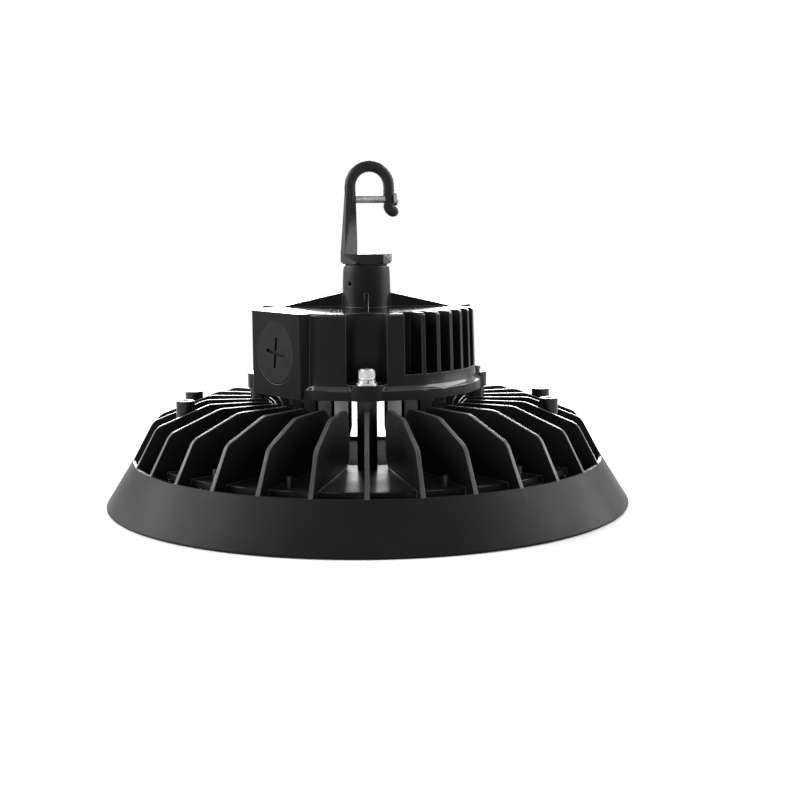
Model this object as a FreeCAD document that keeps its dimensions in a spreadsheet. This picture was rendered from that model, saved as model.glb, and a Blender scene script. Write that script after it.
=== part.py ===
import FreeCAD, Part
import math
import os
from types import SimpleNamespace
import Sketcher

# A high bay light: a die-cast heat sink with thirty radial fins inside a conical rim, an LED
# board and lens below it, and a round driver housing with a suspension hook above it.
# Lengths are millimetres and angles are degrees. The frame stands on the rim: the origin is the
# centre of the rim's lower edge, +Z is up and the front is -Y. An azimuth is 0 at the front and
# grows towards +X.

SIZES = {
    # Rim, base plate and well of the heat sink
    "rim_radius": 159.5,
    "rim_top_inset": 16.4,
    "rim_height": 28.0,
    "rim_land": 1.6,
    "rim_wall": 2.2,
    "rim_slot": 10.1,
    "plate_rise": 2.0,
    "plate_thick": 4.0,
    "well_inset": 13.0,
    "well_depth": 2.0,
    "edge_round": 0.8,
    # Fins
    "fin_count": 30,
    "fin_thick": 2.4,
    "fin_height": 33.6,
    "fin_setback": 3.0,
    "fin_shoulder_inset": 44.6,
    "fin_knee_inset": 12.8,
    "fin_knee_drop": 12.2,
    "fin_inner_round": 9.0,
    "fin_shoulder_round": 15.0,
    "fin_knee_round": 9.0,
    "fin_relief": 6.0,
    "fin_web_bottom": 16.0,
    # Screwed interfaces of the casting
    "bolt_inset": 3.6,
    "boss_radius": 5.75,
    "boss_hole_depth": 14.0,
    "bolt_radius": 3.0,
    "side_screw_radius": 2.0,
    "post_inset": 24.0,
    "post_y": 22.4,
    "post_radius": 5.5,
    "post_rise": 1.2,
    "post_hole_radius": 2.5,
    "post_hole_depth": 14.0,
    # Fits
    "thread_gap": 0.05,
    "slip_gap": 0.3,
    # Lens and its screws, inwards from the plate's edge
    "lens_inset": 3.0,
    "lens_flange": 3.0,
    "lens_screw_inset": 4.5,
    "lens_seal_inset": 4.0,
    "lens_seal_width": 3.0,
    "lens_seal_thick": 1.0,
    "lens_wall_inset": 1.0,
    "lens_drop": 7.4,
    "lens_thick": 3.0,
    "lens_bump": 2.0,
    "lens_bump_half": 6.0,
    "lens_screw_radius": 1.9,
    "lens_screw_head_radius": 3.6,
    "lens_screw_head": 2.4,
    "lens_screw_reach": 6.0,
    # LED board, inwards from the lens's wall
    "board_inset": 5.5,
    "board_thick": 1.6,
    "chip_side": 3.0,
    "chip_thick": 0.7,
    "chip_inset": 6.0,
    "chip_ring_pitch": 16.0,
    "chip_count_1": 18,
    "chip_count_2": 24,
    "chip_count_3": 30,
    "board_screw_radius": 1.5,
    "board_screw_grip": 3.0,
    "connector_length": 14.0,
    "connector_width": 9.0,
    "connector_height": 5.0,
    "connector_offset": 12.0,
    # Driver housing
    "driver_gap": 6.2,
    "driver_height": 49.2,
    "flange_radius": 69.6,
    "driver_foot_inset": 3.0,
    "driver_top_inset": 4.3,
    "driver_top_round": 2.0,
    "flange_face": 5.6,
    "flange_slope": 2.2,
    "ear_radius": 11.3,
    "ear_inset": 4.2,
    "ear_height": 9.2,
    "channel_radius": 11.8,
    "channel_shift": 0.5,
    "cavity_inset": 16.0,
    "cavity_roof": 4.0,
    "slot_wall": 3.0,
    "slot_rise": 5.0,
    "slot_angle": 7.1,
    "slot_pitch": 9.4,
    "slot_start": 34.6,
    "slot_start_rear": 108.5,
    "slot_first_angle": 9.4,
    "slot_first": 24.0,
    # Port panel and its plug
    "panel_azimuth": -51.0,
    "panel_inset": 1.1,
    "panel_margin": 5.85,
    "panel_wall": 8.0,
    "panel_round": 1.2,
    "port_shift": 0.8,
    "port_radius": 15.5,
    "plug_lip": 2.65,
    "plug_face": 3.0,
    "plug_stub": 11.0,
    "plug_seal_thick": 1.0,
    "plug_cross_length": 18.0,
    "plug_cross_width": 2.0,
    "plug_cross_depth": 1.4,
    "plug_turn": -7.5,
    # Neck and hook; the arm's outlines are shares of the collar's and the rod's radius
    "neck_radius": 14.2,
    "neck_flare": 0.6,
    "neck_height": 25.0,
    "neck_wall": 4.2,
    "neck_floor": 4.0,
    "gusset_height": 8.6,
    "gusset_margin": 2.0,
    "gusset_thick": 2.6,
    "set_screw_azimuth": -44.0,
    "set_screw_rise": 14.2,
    "set_screw_radius": 1.5,
    "set_screw_depth": 1.5,
    "neck_seal_inset": 1.2,
    "neck_seal_thick": 0.8,
    "hook_turn": 11.0,
    "collar_margin": 1.64,
    "collar_height": 6.2,
    "collar_chamfer": 1.5,
    "rod_radius": 3.4,
    "arch_offset": 2.35,
    "arch_radius": 11.9,
    "hook_rise": 40.3,
    "arm_foot_nose": 0.24,
    "arm_foot_flank": 0.31,
    "arm_head_nose": 0.8,
    "arm_head_nose_half": 0.64,
    "arm_head_middle": 0.15,
    "arm_head_back": 0.95,
    "arm_head_back_half": 0.4,
    "arm_drop": 4.3,
    "leg_drop": 11.7,
    "curl_radius": 3.6,
    "curl_angle": 75.0,
    "safety_drop": 7.9,
    "safety_radius": 2.3,
    "safety_head_radius": 4.0,
    "safety_head": 3.2,
    "safety_seat_depth": 1.05,
    "safety_grip": 4.5,
    # Driver and its base plate
    "base_inset": 7.0,
    "base_thick": 3.0,
    "base_seal_thick": 1.0,
    "base_seal_margin": 0.8,
    "base_seal_width": 3.4,
    "base_screw_inset": 2.3,
    "base_screw_radius": 1.5,
    "base_screw_grip": 6.0,
    "foot_margin": 8.0,
    "foot_screw_inset": 4.5,
    "foot_length": 9.0,
    "foot_height": 3.4,
    "foot_half": 8.0,
    "block_width": 56.0,
    "block_height": 30.0,
    "block_round": 4.0,
    "small_head_radius": 2.8,
    "small_head": 2.2,
    "sleeve_radius": 3.5,
    "sleeve_wall": 0.9,
    "grommet_wall": 2.5,
    "grommet_lip": 1.6,
    # Bolts at the front and rear, screws at the sides, and washers
    "washer_radius": 6.15,
    "washer_thick": 1.2,
    "spring_washer_radius": 5.1,
    "spring_washer_thick": 1.6,
    "spring_washer_sweep": 345.0,
    "bolt_head_radius": 4.8,
    "bolt_head": 6.2,
    "bolt_grip": 12.0,
    "socket_radius": 2.9,
    "socket_depth": 3.4,
    "side_head_radius": 3.4,
    "side_head": 3.4,
    # Cable gland on the back of the housing
    "gland_azimuth": 156.0,
    "gland_shift": 2.6,
    "gland_seat_radius": 13.0,
    "gland_radius": 8.0,
    "gland_hex_radius": 12.6,
    "gland_hex": 5.0,
    "gland_stub": 12.0,
    "gland_seal_thick": 1.2,
    "gland_nut_radius": 10.6,
    "gland_nut_length": 13.0,
    "gland_insert_radius": 5.0,
}

# Azimuths of the lens screws on the front half, between fins; the rear half repeats them
LENS_SCREW_AZIMUTHS = (19.5, 42.0, 66.0, -19.5, -42.0, -66.0)

# The small screws of the board and of the driver's base are evenly spaced
SMALL_SCREW_COUNT = 6
BASE_SCREW_START = 30.0

# Equal cooling slots of the driver housing at the front right and on each side of the rear
FRONT_SLOTS = 5
REAR_SLOTS = 4

# Overlap by which one additive feature enters the next, so that they fuse
SINK = 1.0

os.makedirs("parts", exist_ok=True)
doc = FreeCAD.newDocument("high_bay_light")


class Term:
    """A size, or a sum of sizes: the text that the document binds to, and its value now."""

    def __init__(self, text, value):
        self.text = text
        self.value = value

    def __add__(self, other):
        other = term(other)
        return Term(f"({self.text} + {other.text})", self.value + other.value)

    def __sub__(self, other):
        other = term(other)
        return Term(f"({self.text} - {other.text})", self.value - other.value)

    def __mul__(self, other):
        other = term(other)
        return Term(f"({self.text} * {other.text})", self.value * other.value)

    def __truediv__(self, other):
        other = term(other)
        return Term(f"({self.text} / {other.text})", self.value / other.value)

    def __radd__(self, other):
        return term(other) + self

    def __rsub__(self, other):
        return term(other) - self

    def __rmul__(self, other):
        return term(other) * self

    def __neg__(self):
        return term(-1.0) * self


def term(number):
    """Give a plain number as a term; a term stays as it is."""
    if isinstance(number, Term):
        return number
    return Term(f"({float(number)})", float(number))


def sine(angle):
    angle = term(angle)
    return Term(f"sin({angle.text})", math.sin(math.radians(angle.value)))


def cosine(angle):
    angle = term(angle)
    return Term(f"cos({angle.text})", math.cos(math.radians(angle.value)))


def around(radius, azimuth):
    """The plan position at a radius and an azimuth."""
    return radius * sine(azimuth), term(0.0) - radius * cosine(azimuth)


def panel_point(azimuth, along, outward):
    """The plan position at a distance outward in an azimuth and a distance along its tangent."""
    across = along * cosine(azimuth) + outward * sine(azimuth)
    depth = along * sine(azimuth) - outward * cosine(azimuth)
    return across, depth


def make_sheet():
    """Write the sizes into a sheet and return them as terms."""
    sheet = doc.addObject("Spreadsheet::Sheet", "Sizes")
    for row, (name, value) in enumerate(SIZES.items(), start=1):
        sheet.set(f"A{row}", name)
        sheet.set(f"B{row}", str(value))
        sheet.setAlias(f"B{row}", name)
    doc.recompute()
    return SimpleNamespace(**{name: Term(f"Sizes.{name}", value) for name, value in SIZES.items()})


def derive(s):
    """Add the sizes that follow from others: radii from outside in, heights from below up."""
    s.rim_top_radius = s.rim_radius - s.rim_top_inset
    s.plate_radius = s.rim_top_radius - s.rim_slot
    s.plate_top = s.rim_height + s.plate_rise
    s.plate_bottom = s.plate_top - s.plate_thick
    s.post_x = s.plate_radius - s.post_inset
    s.fin_top = s.plate_top + s.fin_height
    s.fin_shoulder_radius = s.rim_top_radius - s.fin_shoulder_inset
    s.fin_knee_radius = s.rim_top_radius - s.fin_knee_inset
    s.fin_knee_height = s.fin_top - s.fin_knee_drop
    s.post_top = s.fin_top + s.post_rise

    s.lens_radius = s.plate_radius - s.lens_inset
    s.lens_screw_circle = s.lens_radius - s.lens_screw_inset
    s.lens_seal_radius = s.lens_screw_circle - s.lens_seal_inset - s.lens_seal_width
    s.lens_wall_radius = s.lens_seal_radius - s.lens_wall_inset
    s.lens_seat = s.plate_bottom - s.lens_seal_thick
    s.board_radius = s.lens_wall_radius - s.board_inset
    s.board_bottom = s.plate_bottom - s.board_thick
    s.chip_ring_3 = s.board_radius - s.chip_inset
    s.chip_ring_2 = s.chip_ring_3 - s.chip_ring_pitch
    s.chip_ring_1 = s.chip_ring_2 - s.chip_ring_pitch
    s.board_screw_circle = s.chip_ring_2 + s.chip_ring_pitch / 2

    s.driver_bottom = s.fin_top + s.driver_gap
    s.driver_top = s.driver_bottom + s.driver_height
    s.driver_foot_radius = s.flange_radius - s.driver_foot_inset
    s.driver_top_radius = s.flange_radius - s.driver_top_inset
    s.bolt_circle = s.flange_radius - s.bolt_inset
    s.ear_centre = s.bolt_circle - s.ear_inset
    s.ear_top = s.driver_bottom + s.ear_height
    s.channel_centre = s.bolt_circle + s.channel_shift
    s.cavity_radius = s.bolt_circle - s.cavity_inset
    s.cavity_top = s.driver_top - s.cavity_roof
    s.slot_inner_radius = s.cavity_radius + s.slot_wall
    s.slot_floor = s.ear_top + s.slot_rise
    s.well_radius = s.bolt_circle - s.well_inset
    s.fin_inner_radius = s.well_radius + s.fin_setback

    s.plug_radius = s.port_radius + s.plug_lip
    s.panel_half = s.plug_radius + s.panel_margin
    s.panel_offset = s.flange_radius - s.panel_inset
    s.port_height = s.driver_bottom + s.driver_height / 2 + s.port_shift
    s.gland_offset = s.panel_offset
    s.gland_height = s.driver_bottom + s.driver_height / 2 + s.gland_shift

    s.neck_foot_radius = s.neck_radius + s.neck_flare
    s.neck_top = s.driver_top + s.neck_height
    s.neck_bore = s.neck_radius - s.neck_wall
    s.neck_bore_floor = s.driver_top + s.neck_floor
    s.neck_seal_radius = s.neck_radius - s.neck_seal_inset
    s.gusset_reach = s.cavity_radius + s.gusset_margin
    s.set_screw_height = s.driver_top + s.set_screw_rise
    s.collar_radius = s.neck_radius + s.collar_margin
    s.collar_bottom = s.neck_top + s.neck_seal_thick
    s.collar_top = s.collar_bottom + s.collar_height
    s.arch_height = s.collar_top + s.hook_rise
    s.arm_top = s.arch_height - s.arm_drop
    s.arm_place = s.arch_offset - s.arch_radius
    s.leg_place = s.arch_offset + s.arch_radius
    s.leg_bottom = s.arch_height - s.leg_drop
    s.safety_height = s.arch_height - s.safety_drop
    s.safety_seat = s.leg_place + s.rod_radius - s.safety_seat_depth
    s.safety_tip = s.arm_place + s.rod_radius - s.safety_grip

    s.base_radius = s.bolt_circle - s.base_inset
    s.base_top = s.driver_bottom + s.base_thick
    s.recess_top = s.base_top + s.base_seal_thick
    s.base_seal_radius = s.cavity_radius + s.base_seal_margin
    s.base_screw_circle = s.base_radius - s.base_screw_inset
    s.foot_reach = s.cavity_radius - s.foot_margin
    s.foot_screw_offset = s.foot_reach - s.foot_screw_inset
    s.block_half = s.foot_reach - s.foot_length
    return s


S = derive(make_sheet())


def bind(item, path, value):
    item.setExpression(path, term(value).text)


def new_body(label):
    body = doc.addObject("PartDesign::Body", label)
    body.Label = label
    return body


def origin_item(body, role):
    for feature in body.Origin.OriginFeatures:
        if feature.Role == role:
            return feature
    raise ValueError(role)


def new_sketch(body, name, role="XY_Plane", height=None):
    """A sketch on one of the body's own planes; a height lifts it along the plane's normal."""
    sketch = body.newObject("Sketcher::SketchObject", name)
    sketch.AttachmentSupport = [(origin_item(body, role), "")]
    sketch.MapMode = "FlatFace"
    if height is not None:
        sketch.AttachmentOffset = FreeCAD.Placement(
            FreeCAD.Vector(0, 0, term(height).value), FreeCAD.Rotation())
        bind(sketch, "AttachmentOffset.Base.z", height)
    return sketch


def facing_sketch(body, name, azimuth, offset):
    """A sketch on an upright plane that faces an azimuth; its X runs along, its Y is up."""
    sketch = new_sketch(body, name, "XZ_Plane")
    turn = FreeCAD.Rotation(FreeCAD.Vector(0, 1, 0), term(azimuth).value)
    across = offset * sine(azimuth)
    outward = offset * cosine(azimuth)
    sketch.AttachmentOffset = FreeCAD.Placement(
        FreeCAD.Vector(across.value, 0, outward.value), turn)
    bind(sketch, "AttachmentOffset.Base.x", across)
    bind(sketch, "AttachmentOffset.Base.z", outward)
    bind(sketch, "AttachmentOffset.Rotation.Angle", azimuth)
    return sketch


def hold(sketch, kind, places, value):
    """Add a dimension to the sketch and bind it."""
    value = term(value)
    index = sketch.addConstraint(Sketcher.Constraint(kind, *places, value.value))
    bind(sketch, f"Constraints[{index}]", value)


def hold_point(sketch, geometry, position, across, up):
    hold(sketch, "DistanceX", (-1, 1, geometry, position), across)
    hold(sketch, "DistanceY", (-1, 1, geometry, position), up)


def add_circle(sketch, across, up, radius):
    across, up, radius = term(across), term(up), term(radius)
    centre = FreeCAD.Vector(across.value, up.value, 0)
    circle = Part.Circle(centre, FreeCAD.Vector(0, 0, 1), radius.value)
    index = sketch.addGeometry(circle)
    hold(sketch, "Radius", (index,), radius)
    hold_point(sketch, index, 3, across, up)


def add_axis(sketch, across):
    """A construction line parallel to the sketch's Y axis, to turn a profile about."""
    across = term(across)
    line = Part.LineSegment(FreeCAD.Vector(across.value, 0, 0), FreeCAD.Vector(across.value, 10, 0))
    index = sketch.addGeometry(line, True)
    hold_point(sketch, index, 1, across, 0.0)
    hold_point(sketch, index, 2, across, 10.0)


def corner_arc(before, here, after, radius):
    """The arc that rounds a corner, its two ends and whether it runs counter-clockwise."""
    back = (before - here).normalize()
    ahead = (after - here).normalize()
    half = back.getAngle(ahead) / 2
    reach = radius / math.tan(half)
    middle = (back + ahead).normalize()
    first = here + back * reach
    last = here + ahead * reach
    centre = here + middle * (radius / math.sin(half))
    crest = centre - middle * radius
    turn = (first - centre).cross(last - centre).z
    return Part.Arc(first, crest, last), first, last, turn > 0


def add_outline(sketch, corners):
    """A closed outline through the corners; a third value rounds its corner."""
    corners = [tuple(term(value) for value in corner) for corner in corners]
    places = [FreeCAD.Vector(corner[0].value, corner[1].value, 0) for corner in corners]
    count = len(corners)
    starts, ends, arcs = {}, {}, {}
    for index, corner in enumerate(corners):
        starts[index] = ends[index] = places[index]
        if len(corner) > 2:
            before, after = places[index - 1], places[(index + 1) % count]
            arc, first, last, forward = corner_arc(before, places[index], after, corner[2].value)
            ends[index], starts[index] = first, last
            arcs[index] = (arc, forward)
    lines = [sketch.addGeometry(Part.LineSegment(starts[index], ends[(index + 1) % count]))
             for index in range(count)]
    for index, corner in enumerate(corners):
        before, after = lines[index - 1], lines[index]
        if index not in arcs:
            sketch.addConstraint(Sketcher.Constraint("Coincident", before, 2, after, 1))
            hold_point(sketch, after, 1, corner[0], corner[1])
            continue
        arc, forward = arcs[index]
        bend = sketch.addGeometry(arc)
        near, far = (1, 2) if forward else (2, 1)
        sketch.addConstraint(Sketcher.Constraint("Tangent", before, 2, bend, near))
        sketch.addConstraint(Sketcher.Constraint("Tangent", after, 1, bend, far))
        hold(sketch, "Radius", (bend,), corner[2])
        peak = sketch.addGeometry(Part.Point(places[index]), True)
        sketch.addConstraint(Sketcher.Constraint("PointOnObject", peak, 1, before))
        sketch.addConstraint(Sketcher.Constraint("PointOnObject", peak, 1, after))
        hold_point(sketch, peak, 1, corner[0], corner[1])


def extrude(body, name, sketch, length, kind="Pad", upward=None, symmetric=False):
    """Pad or pocket a sketch; a pocket runs against the sketch's normal unless turned upward."""
    feature = body.newObject(f"PartDesign::{kind}", name)
    feature.Profile = sketch
    feature.Length = term(length).value
    bind(feature, "Length", length)
    if symmetric:
        feature.SideType = "Symmetric"
    if upward is not None:
        feature.Reversed = upward if kind == "Pocket" else not upward
    return feature


def turn(body, name, sketch, kind="Revolution", axis="V_Axis", angle=360.0, backward=False):
    feature = body.newObject(f"PartDesign::{kind}", name)
    feature.Profile = sketch
    feature.ReferenceAxis = (sketch, [axis])
    feature.Angle = term(angle).value
    bind(feature, "Angle", angle)
    feature.Reversed = backward
    return feature


def repeat(body, name, features, count, angle=360.0, backward=False):
    """Repeat one feature, or a list of them, round the body's upright axis."""
    pattern = body.newObject("PartDesign::PolarPattern", name)
    pattern.Originals = features if isinstance(features, list) else [features]
    pattern.Axis = (origin_item(body, "Z_Axis"), [""])
    pattern.Angle = term(angle).value
    bind(pattern, "Angle", angle)
    pattern.Occurrences = int(term(count).value)
    bind(pattern, "Occurrences", count)
    pattern.Reversed = backward
    body.Tip = pattern
    doc.recompute()
    return pattern


def place_facing(item, azimuth, offset, height):
    """Put a piece built about its own Z axis on a plane that faces an azimuth."""
    upright = FreeCAD.Rotation(FreeCAD.Vector(1, 0, 0), 90)
    swing = FreeCAD.Rotation(FreeCAD.Vector(0, 0, 1), term(azimuth).value)
    across, depth = around(offset, azimuth)
    spot = FreeCAD.Vector(across.value, depth.value, term(height).value)
    item.Placement = FreeCAD.Placement(spot, swing.multiply(upright))
    bind(item, "Placement.Base.x", across)
    bind(item, "Placement.Base.y", depth)
    bind(item, "Placement.Base.z", height)


def add_cross(sketch, across, up, length, width):
    """A cross outline for a driver's recess."""
    arm, half = length / 2, width / 2
    steps = (
        (-arm, -half), (-half, -half), (-half, -arm), (half, -arm), (half, -half), (arm, -half),
        (arm, half), (half, half), (half, arm), (-half, arm), (-half, half), (-arm, half),
    )
    add_outline(sketch, [(across + step, up + rise) for step, rise in steps])


def add_screw(body, name, place, seat, head, head_radius, shank_radius, tip):
    """A round-head screw at a plan position; a head height below zero points the head down."""
    across, depth = term(place[0]), term(place[1])
    crown = seat + head
    outline = new_sketch(body, name + "_outline", "XZ_Plane", -depth)
    add_outline(outline, [
        (across, crown),
        (across + head_radius, crown, head_radius / 3),
        (across + head_radius, seat),
        (across + shank_radius, seat),
        (across + shank_radius, tip),
        (across, tip),
    ])
    add_axis(outline, across)
    screw = turn(body, name, outline, axis="Axis0")
    recess = new_sketch(body, name + "_recess_outline", height=crown)
    add_cross(recess, across, depth, head_radius, head_radius / 4)
    upward = head.value < 0
    cut = extrude(body, name + "_recess", recess, (-head if upward else head) / 3,
                  "Pocket", upward=upward)
    return [screw, cut]


def lens_screw_places():
    """The plan positions of the lens screws, front and rear."""
    front = [around(S.lens_screw_circle, azimuth) for azimuth in LENS_SCREW_AZIMUTHS]
    return front + [(-across, -depth) for across, depth in front]


def ring_places(radius, start=0.0):
    """The plan positions of the small screws on a circle."""
    step = 360.0 / SMALL_SCREW_COUNT
    return [around(radius, start + step * number) for number in range(SMALL_SCREW_COUNT)]


def add_circles(sketch, places, radius):
    for across, depth in places:
        add_circle(sketch, across, depth, radius)


def heat_sink():
    """One aluminium casting: conical rim, plate with a central well, fins, bosses and posts."""
    body = new_body("heat_sink")
    sleeve_hole = S.sleeve_radius + S.slip_gap

    plate = new_sketch(body, "plate_outline", "XZ_Plane")
    add_outline(plate, [
        (sleeve_hole, S.plate_bottom),
        (S.plate_radius, S.plate_bottom),
        (S.plate_radius, S.plate_top, S.edge_round),
        (S.well_radius, S.plate_top, S.edge_round),
        (S.well_radius, S.plate_top - S.well_depth),
        (sleeve_hole, S.plate_top - S.well_depth),
    ])
    turn(body, "plate", plate)

    rim = new_sketch(body, "rim_outline", "XZ_Plane")
    add_outline(rim, [
        (S.rim_radius - S.rim_wall, 0.0),
        (S.rim_radius, 0.0, S.edge_round),
        (S.rim_radius, S.rim_land),
        (S.rim_top_radius, S.rim_height, S.edge_round),
        (S.rim_top_radius - S.rim_wall, S.rim_height),
    ])
    turn(body, "rim", rim)

    # A fin bridges the open slot between plate and rim, and keeps to the rim's cone up to its knee
    slope = (S.rim_radius - S.rim_top_radius) / (S.rim_height - S.rim_land)
    web_end = S.rim_radius - slope * (S.fin_web_bottom - S.rim_land) - S.rim_wall / 2
    fin = new_sketch(body, "fin_outline", "YZ_Plane")
    add_outline(fin, [
        (S.fin_inner_radius, S.plate_top + S.fin_relief),
        (S.fin_inner_radius + S.fin_relief, S.plate_top),
        (S.fin_inner_radius + S.fin_relief, S.plate_top - S.plate_thick / 2),
        (S.plate_radius - SINK, S.plate_top - S.plate_thick / 2),
        (S.plate_radius - SINK, S.fin_web_bottom),
        (web_end, S.fin_web_bottom),
        (S.rim_top_radius - S.rim_wall / 2, S.rim_height - S.edge_round),
        (S.rim_top_radius, S.rim_height),
        (S.fin_knee_radius, S.fin_knee_height, S.fin_knee_round),
        (S.fin_shoulder_radius, S.fin_top, S.fin_shoulder_round),
        (S.fin_inner_radius, S.fin_top, S.fin_inner_round),
    ])
    first_fin = extrude(body, "fin", fin, S.fin_thick, symmetric=True)
    repeat(body, "fins", first_fin, S.fin_count)

    boss = new_sketch(body, "boss_outline", height=S.plate_bottom + SINK)
    add_circle(boss, 0.0, -S.bolt_circle, S.boss_radius)
    boss = extrude(body, "boss", boss, S.driver_bottom - S.plate_bottom - SINK)
    repeat(body, "bosses", boss, 4)

    corners = [(side * S.post_x, end * S.post_y) for side in (1.0, -1.0) for end in (1.0, -1.0)]
    posts = new_sketch(body, "post_outlines", height=S.plate_bottom + SINK)
    add_circles(posts, corners, S.post_radius)
    extrude(body, "posts", posts, S.post_top - S.plate_bottom - SINK)
    post_holes = new_sketch(body, "post_hole_outlines", height=S.post_top)
    add_circles(post_holes, corners, S.post_hole_radius)
    extrude(body, "post_holes", post_holes, S.post_hole_depth, "Pocket")

    boss_hole = new_sketch(body, "boss_hole_outline", height=S.driver_bottom)
    add_circle(boss_hole, 0.0, -S.bolt_circle, S.bolt_radius)
    boss_hole = extrude(body, "boss_hole", boss_hole, S.boss_hole_depth, "Pocket")
    repeat(body, "boss_holes", boss_hole, 2)
    side_hole = new_sketch(body, "side_hole_outline", height=S.driver_bottom)
    add_circle(side_hole, S.bolt_circle, 0.0, S.side_screw_radius)
    side_hole = extrude(body, "side_hole", side_hole, S.boss_hole_depth, "Pocket")
    repeat(body, "side_holes", side_hole, 2)

    screw_holes = new_sketch(body, "lens_screw_hole_outlines", height=S.plate_top)
    add_circles(screw_holes, lens_screw_places(), S.lens_screw_radius + S.thread_gap)
    extrude(body, "lens_screw_holes", screw_holes, S.plate_thick, "Pocket")

    board_holes = new_sketch(body, "board_screw_hole_outlines", height=S.plate_bottom)
    add_circles(board_holes, ring_places(S.board_screw_circle),
                S.board_screw_radius + S.thread_gap)
    extrude(body, "board_screw_holes", board_holes, S.board_screw_grip + S.slip_gap,
            "Pocket", upward=True)
    return body


def led_board():
    """The round circuit board under the plate."""
    body = new_body("led_board")
    outline = new_sketch(body, "board_outline", height=S.board_bottom)
    add_circle(outline, 0.0, 0.0, S.board_radius)
    add_circle(outline, 0.0, 0.0, S.sleeve_radius - S.sleeve_wall)
    add_circles(outline, ring_places(S.board_screw_circle), S.board_screw_radius + S.slip_gap)
    extrude(body, "board", outline, S.board_thick)
    return body


def led_chips():
    """Three rings of LED packages on the board's lower face."""
    body = new_body("led_chips")
    rings = (
        (S.chip_ring_1, S.chip_count_1),
        (S.chip_ring_2, S.chip_count_2),
        (S.chip_ring_3, S.chip_count_3),
    )
    half = S.chip_side / 2
    for number, (radius, count) in enumerate(rings, start=1):
        outline = new_sketch(body, f"chip_outline_{number}", height=S.board_bottom - S.chip_thick)
        add_outline(outline, [
            (radius - half, -half),
            (radius + half, -half),
            (radius + half, half),
            (radius - half, half),
        ])
        chip = extrude(body, f"chip_{number}", outline, S.chip_thick)
        repeat(body, f"chip_ring_{number}", chip, count)
    return body


def board_connector():
    """The poke-in terminal where the driver's leads meet the board."""
    body = new_body("board_connector")
    half = S.connector_length / 2
    outline = new_sketch(body, "connector_outline", height=S.board_bottom)
    add_outline(outline, [
        (-half, S.connector_offset, S.edge_round),
        (half, S.connector_offset, S.edge_round),
        (half, S.connector_offset + S.connector_width, S.edge_round),
        (-half, S.connector_offset + S.connector_width, S.edge_round),
    ])
    extrude(body, "connector", outline, S.connector_height, upward=False)
    ways = new_sketch(body, "way_outlines", "XZ_Plane", -S.connector_offset)
    for side in (-1.0, 1.0):
        add_circle(ways, side * half / 2, S.board_bottom - S.connector_height / 2, half / 4)
    extrude(body, "ways", ways, S.connector_width / 2, "Pocket")
    return body


def board_screws():
    """The screws that hold the board up against the plate."""
    body = new_body("board_screws")
    screw = add_screw(body, "board_screw", around(S.board_screw_circle, 0.0), S.board_bottom,
                      -S.small_head, S.small_head_radius, S.board_screw_radius,
                      S.plate_bottom + S.board_screw_grip)
    repeat(body, "board_screw_ring", screw, SMALL_SCREW_COUNT)
    return body


def lens():
    """A clear moulded lens: a screwed flange, a stepped wall and a ring bump under each ring."""
    body = new_body("lens")
    flange_bottom = S.lens_seat - S.lens_flange
    pane_top = S.lens_seat - S.lens_drop
    pane_bottom = pane_top - S.lens_thick
    outline = new_sketch(body, "lens_outline", "XZ_Plane")
    corners = [(0.0, pane_top), (0.0, pane_bottom)]
    for radius in (S.chip_ring_1, S.chip_ring_2, S.chip_ring_3):
        corners.append((radius - S.lens_bump_half, pane_bottom))
        corners.append((radius, pane_bottom - S.lens_bump, S.lens_bump_half))
        corners.append((radius + S.lens_bump_half, pane_bottom))
    corners += [
        (S.lens_wall_radius + S.lens_thick, pane_bottom, S.edge_round),
        (S.lens_wall_radius + S.lens_thick, flange_bottom),
        (S.lens_radius, flange_bottom),
        (S.lens_radius, S.lens_seat),
        (S.lens_wall_radius, S.lens_seat),
        (S.lens_wall_radius, pane_top),
    ]
    add_outline(outline, corners)
    turn(body, "lens_turned", outline)
    holes = new_sketch(body, "lens_hole_outlines", height=S.lens_seat)
    add_circles(holes, lens_screw_places(), S.lens_screw_radius + S.slip_gap)
    extrude(body, "lens_holes", holes, S.lens_flange, "Pocket")
    return body


def flat_ring(label, inner, outer, bottom, thick):
    """A flat ring about the Z axis."""
    body = new_body(label)
    outline = new_sketch(body, label + "_outline", height=bottom)
    add_circle(outline, 0.0, 0.0, outer)
    add_circle(outline, 0.0, 0.0, inner)
    extrude(body, label + "_ring", outline, thick)
    return body


def lens_screws():
    """The screws that clamp the lens; their ends stand above the plate between the fins."""
    body = new_body("lens_screws")
    screws = []
    for number, azimuth in enumerate(LENS_SCREW_AZIMUTHS, start=1):
        screws += add_screw(body, f"lens_screw_{number}", around(S.lens_screw_circle, azimuth),
                            S.lens_seat - S.lens_flange, -S.lens_screw_head,
                            S.lens_screw_head_radius, S.lens_screw_radius,
                            S.plate_top + S.lens_screw_reach)
    repeat(body, "lens_screw_halves", screws, 2)
    return body


def add_slots(body, name, start, width, count, backward=False):
    """Open-topped cooling slots, wedge-shaped in plan, that leave upright ribs between them."""
    outline = new_sketch(body, name + "_outline", height=S.driver_top)
    half = width / 2
    reach = S.flange_radius + S.ear_radius
    add_outline(outline, [
        around(S.slot_inner_radius, start - half),
        around(reach, start - half),
        around(reach, start + half),
        around(S.slot_inner_radius, start + half),
    ])
    slot = extrude(body, name, outline, S.driver_top - S.slot_floor, "Pocket")
    if count > 1:
        repeat(body, name + "_row", slot, count, S.slot_pitch * (count - 1), backward)


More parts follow.
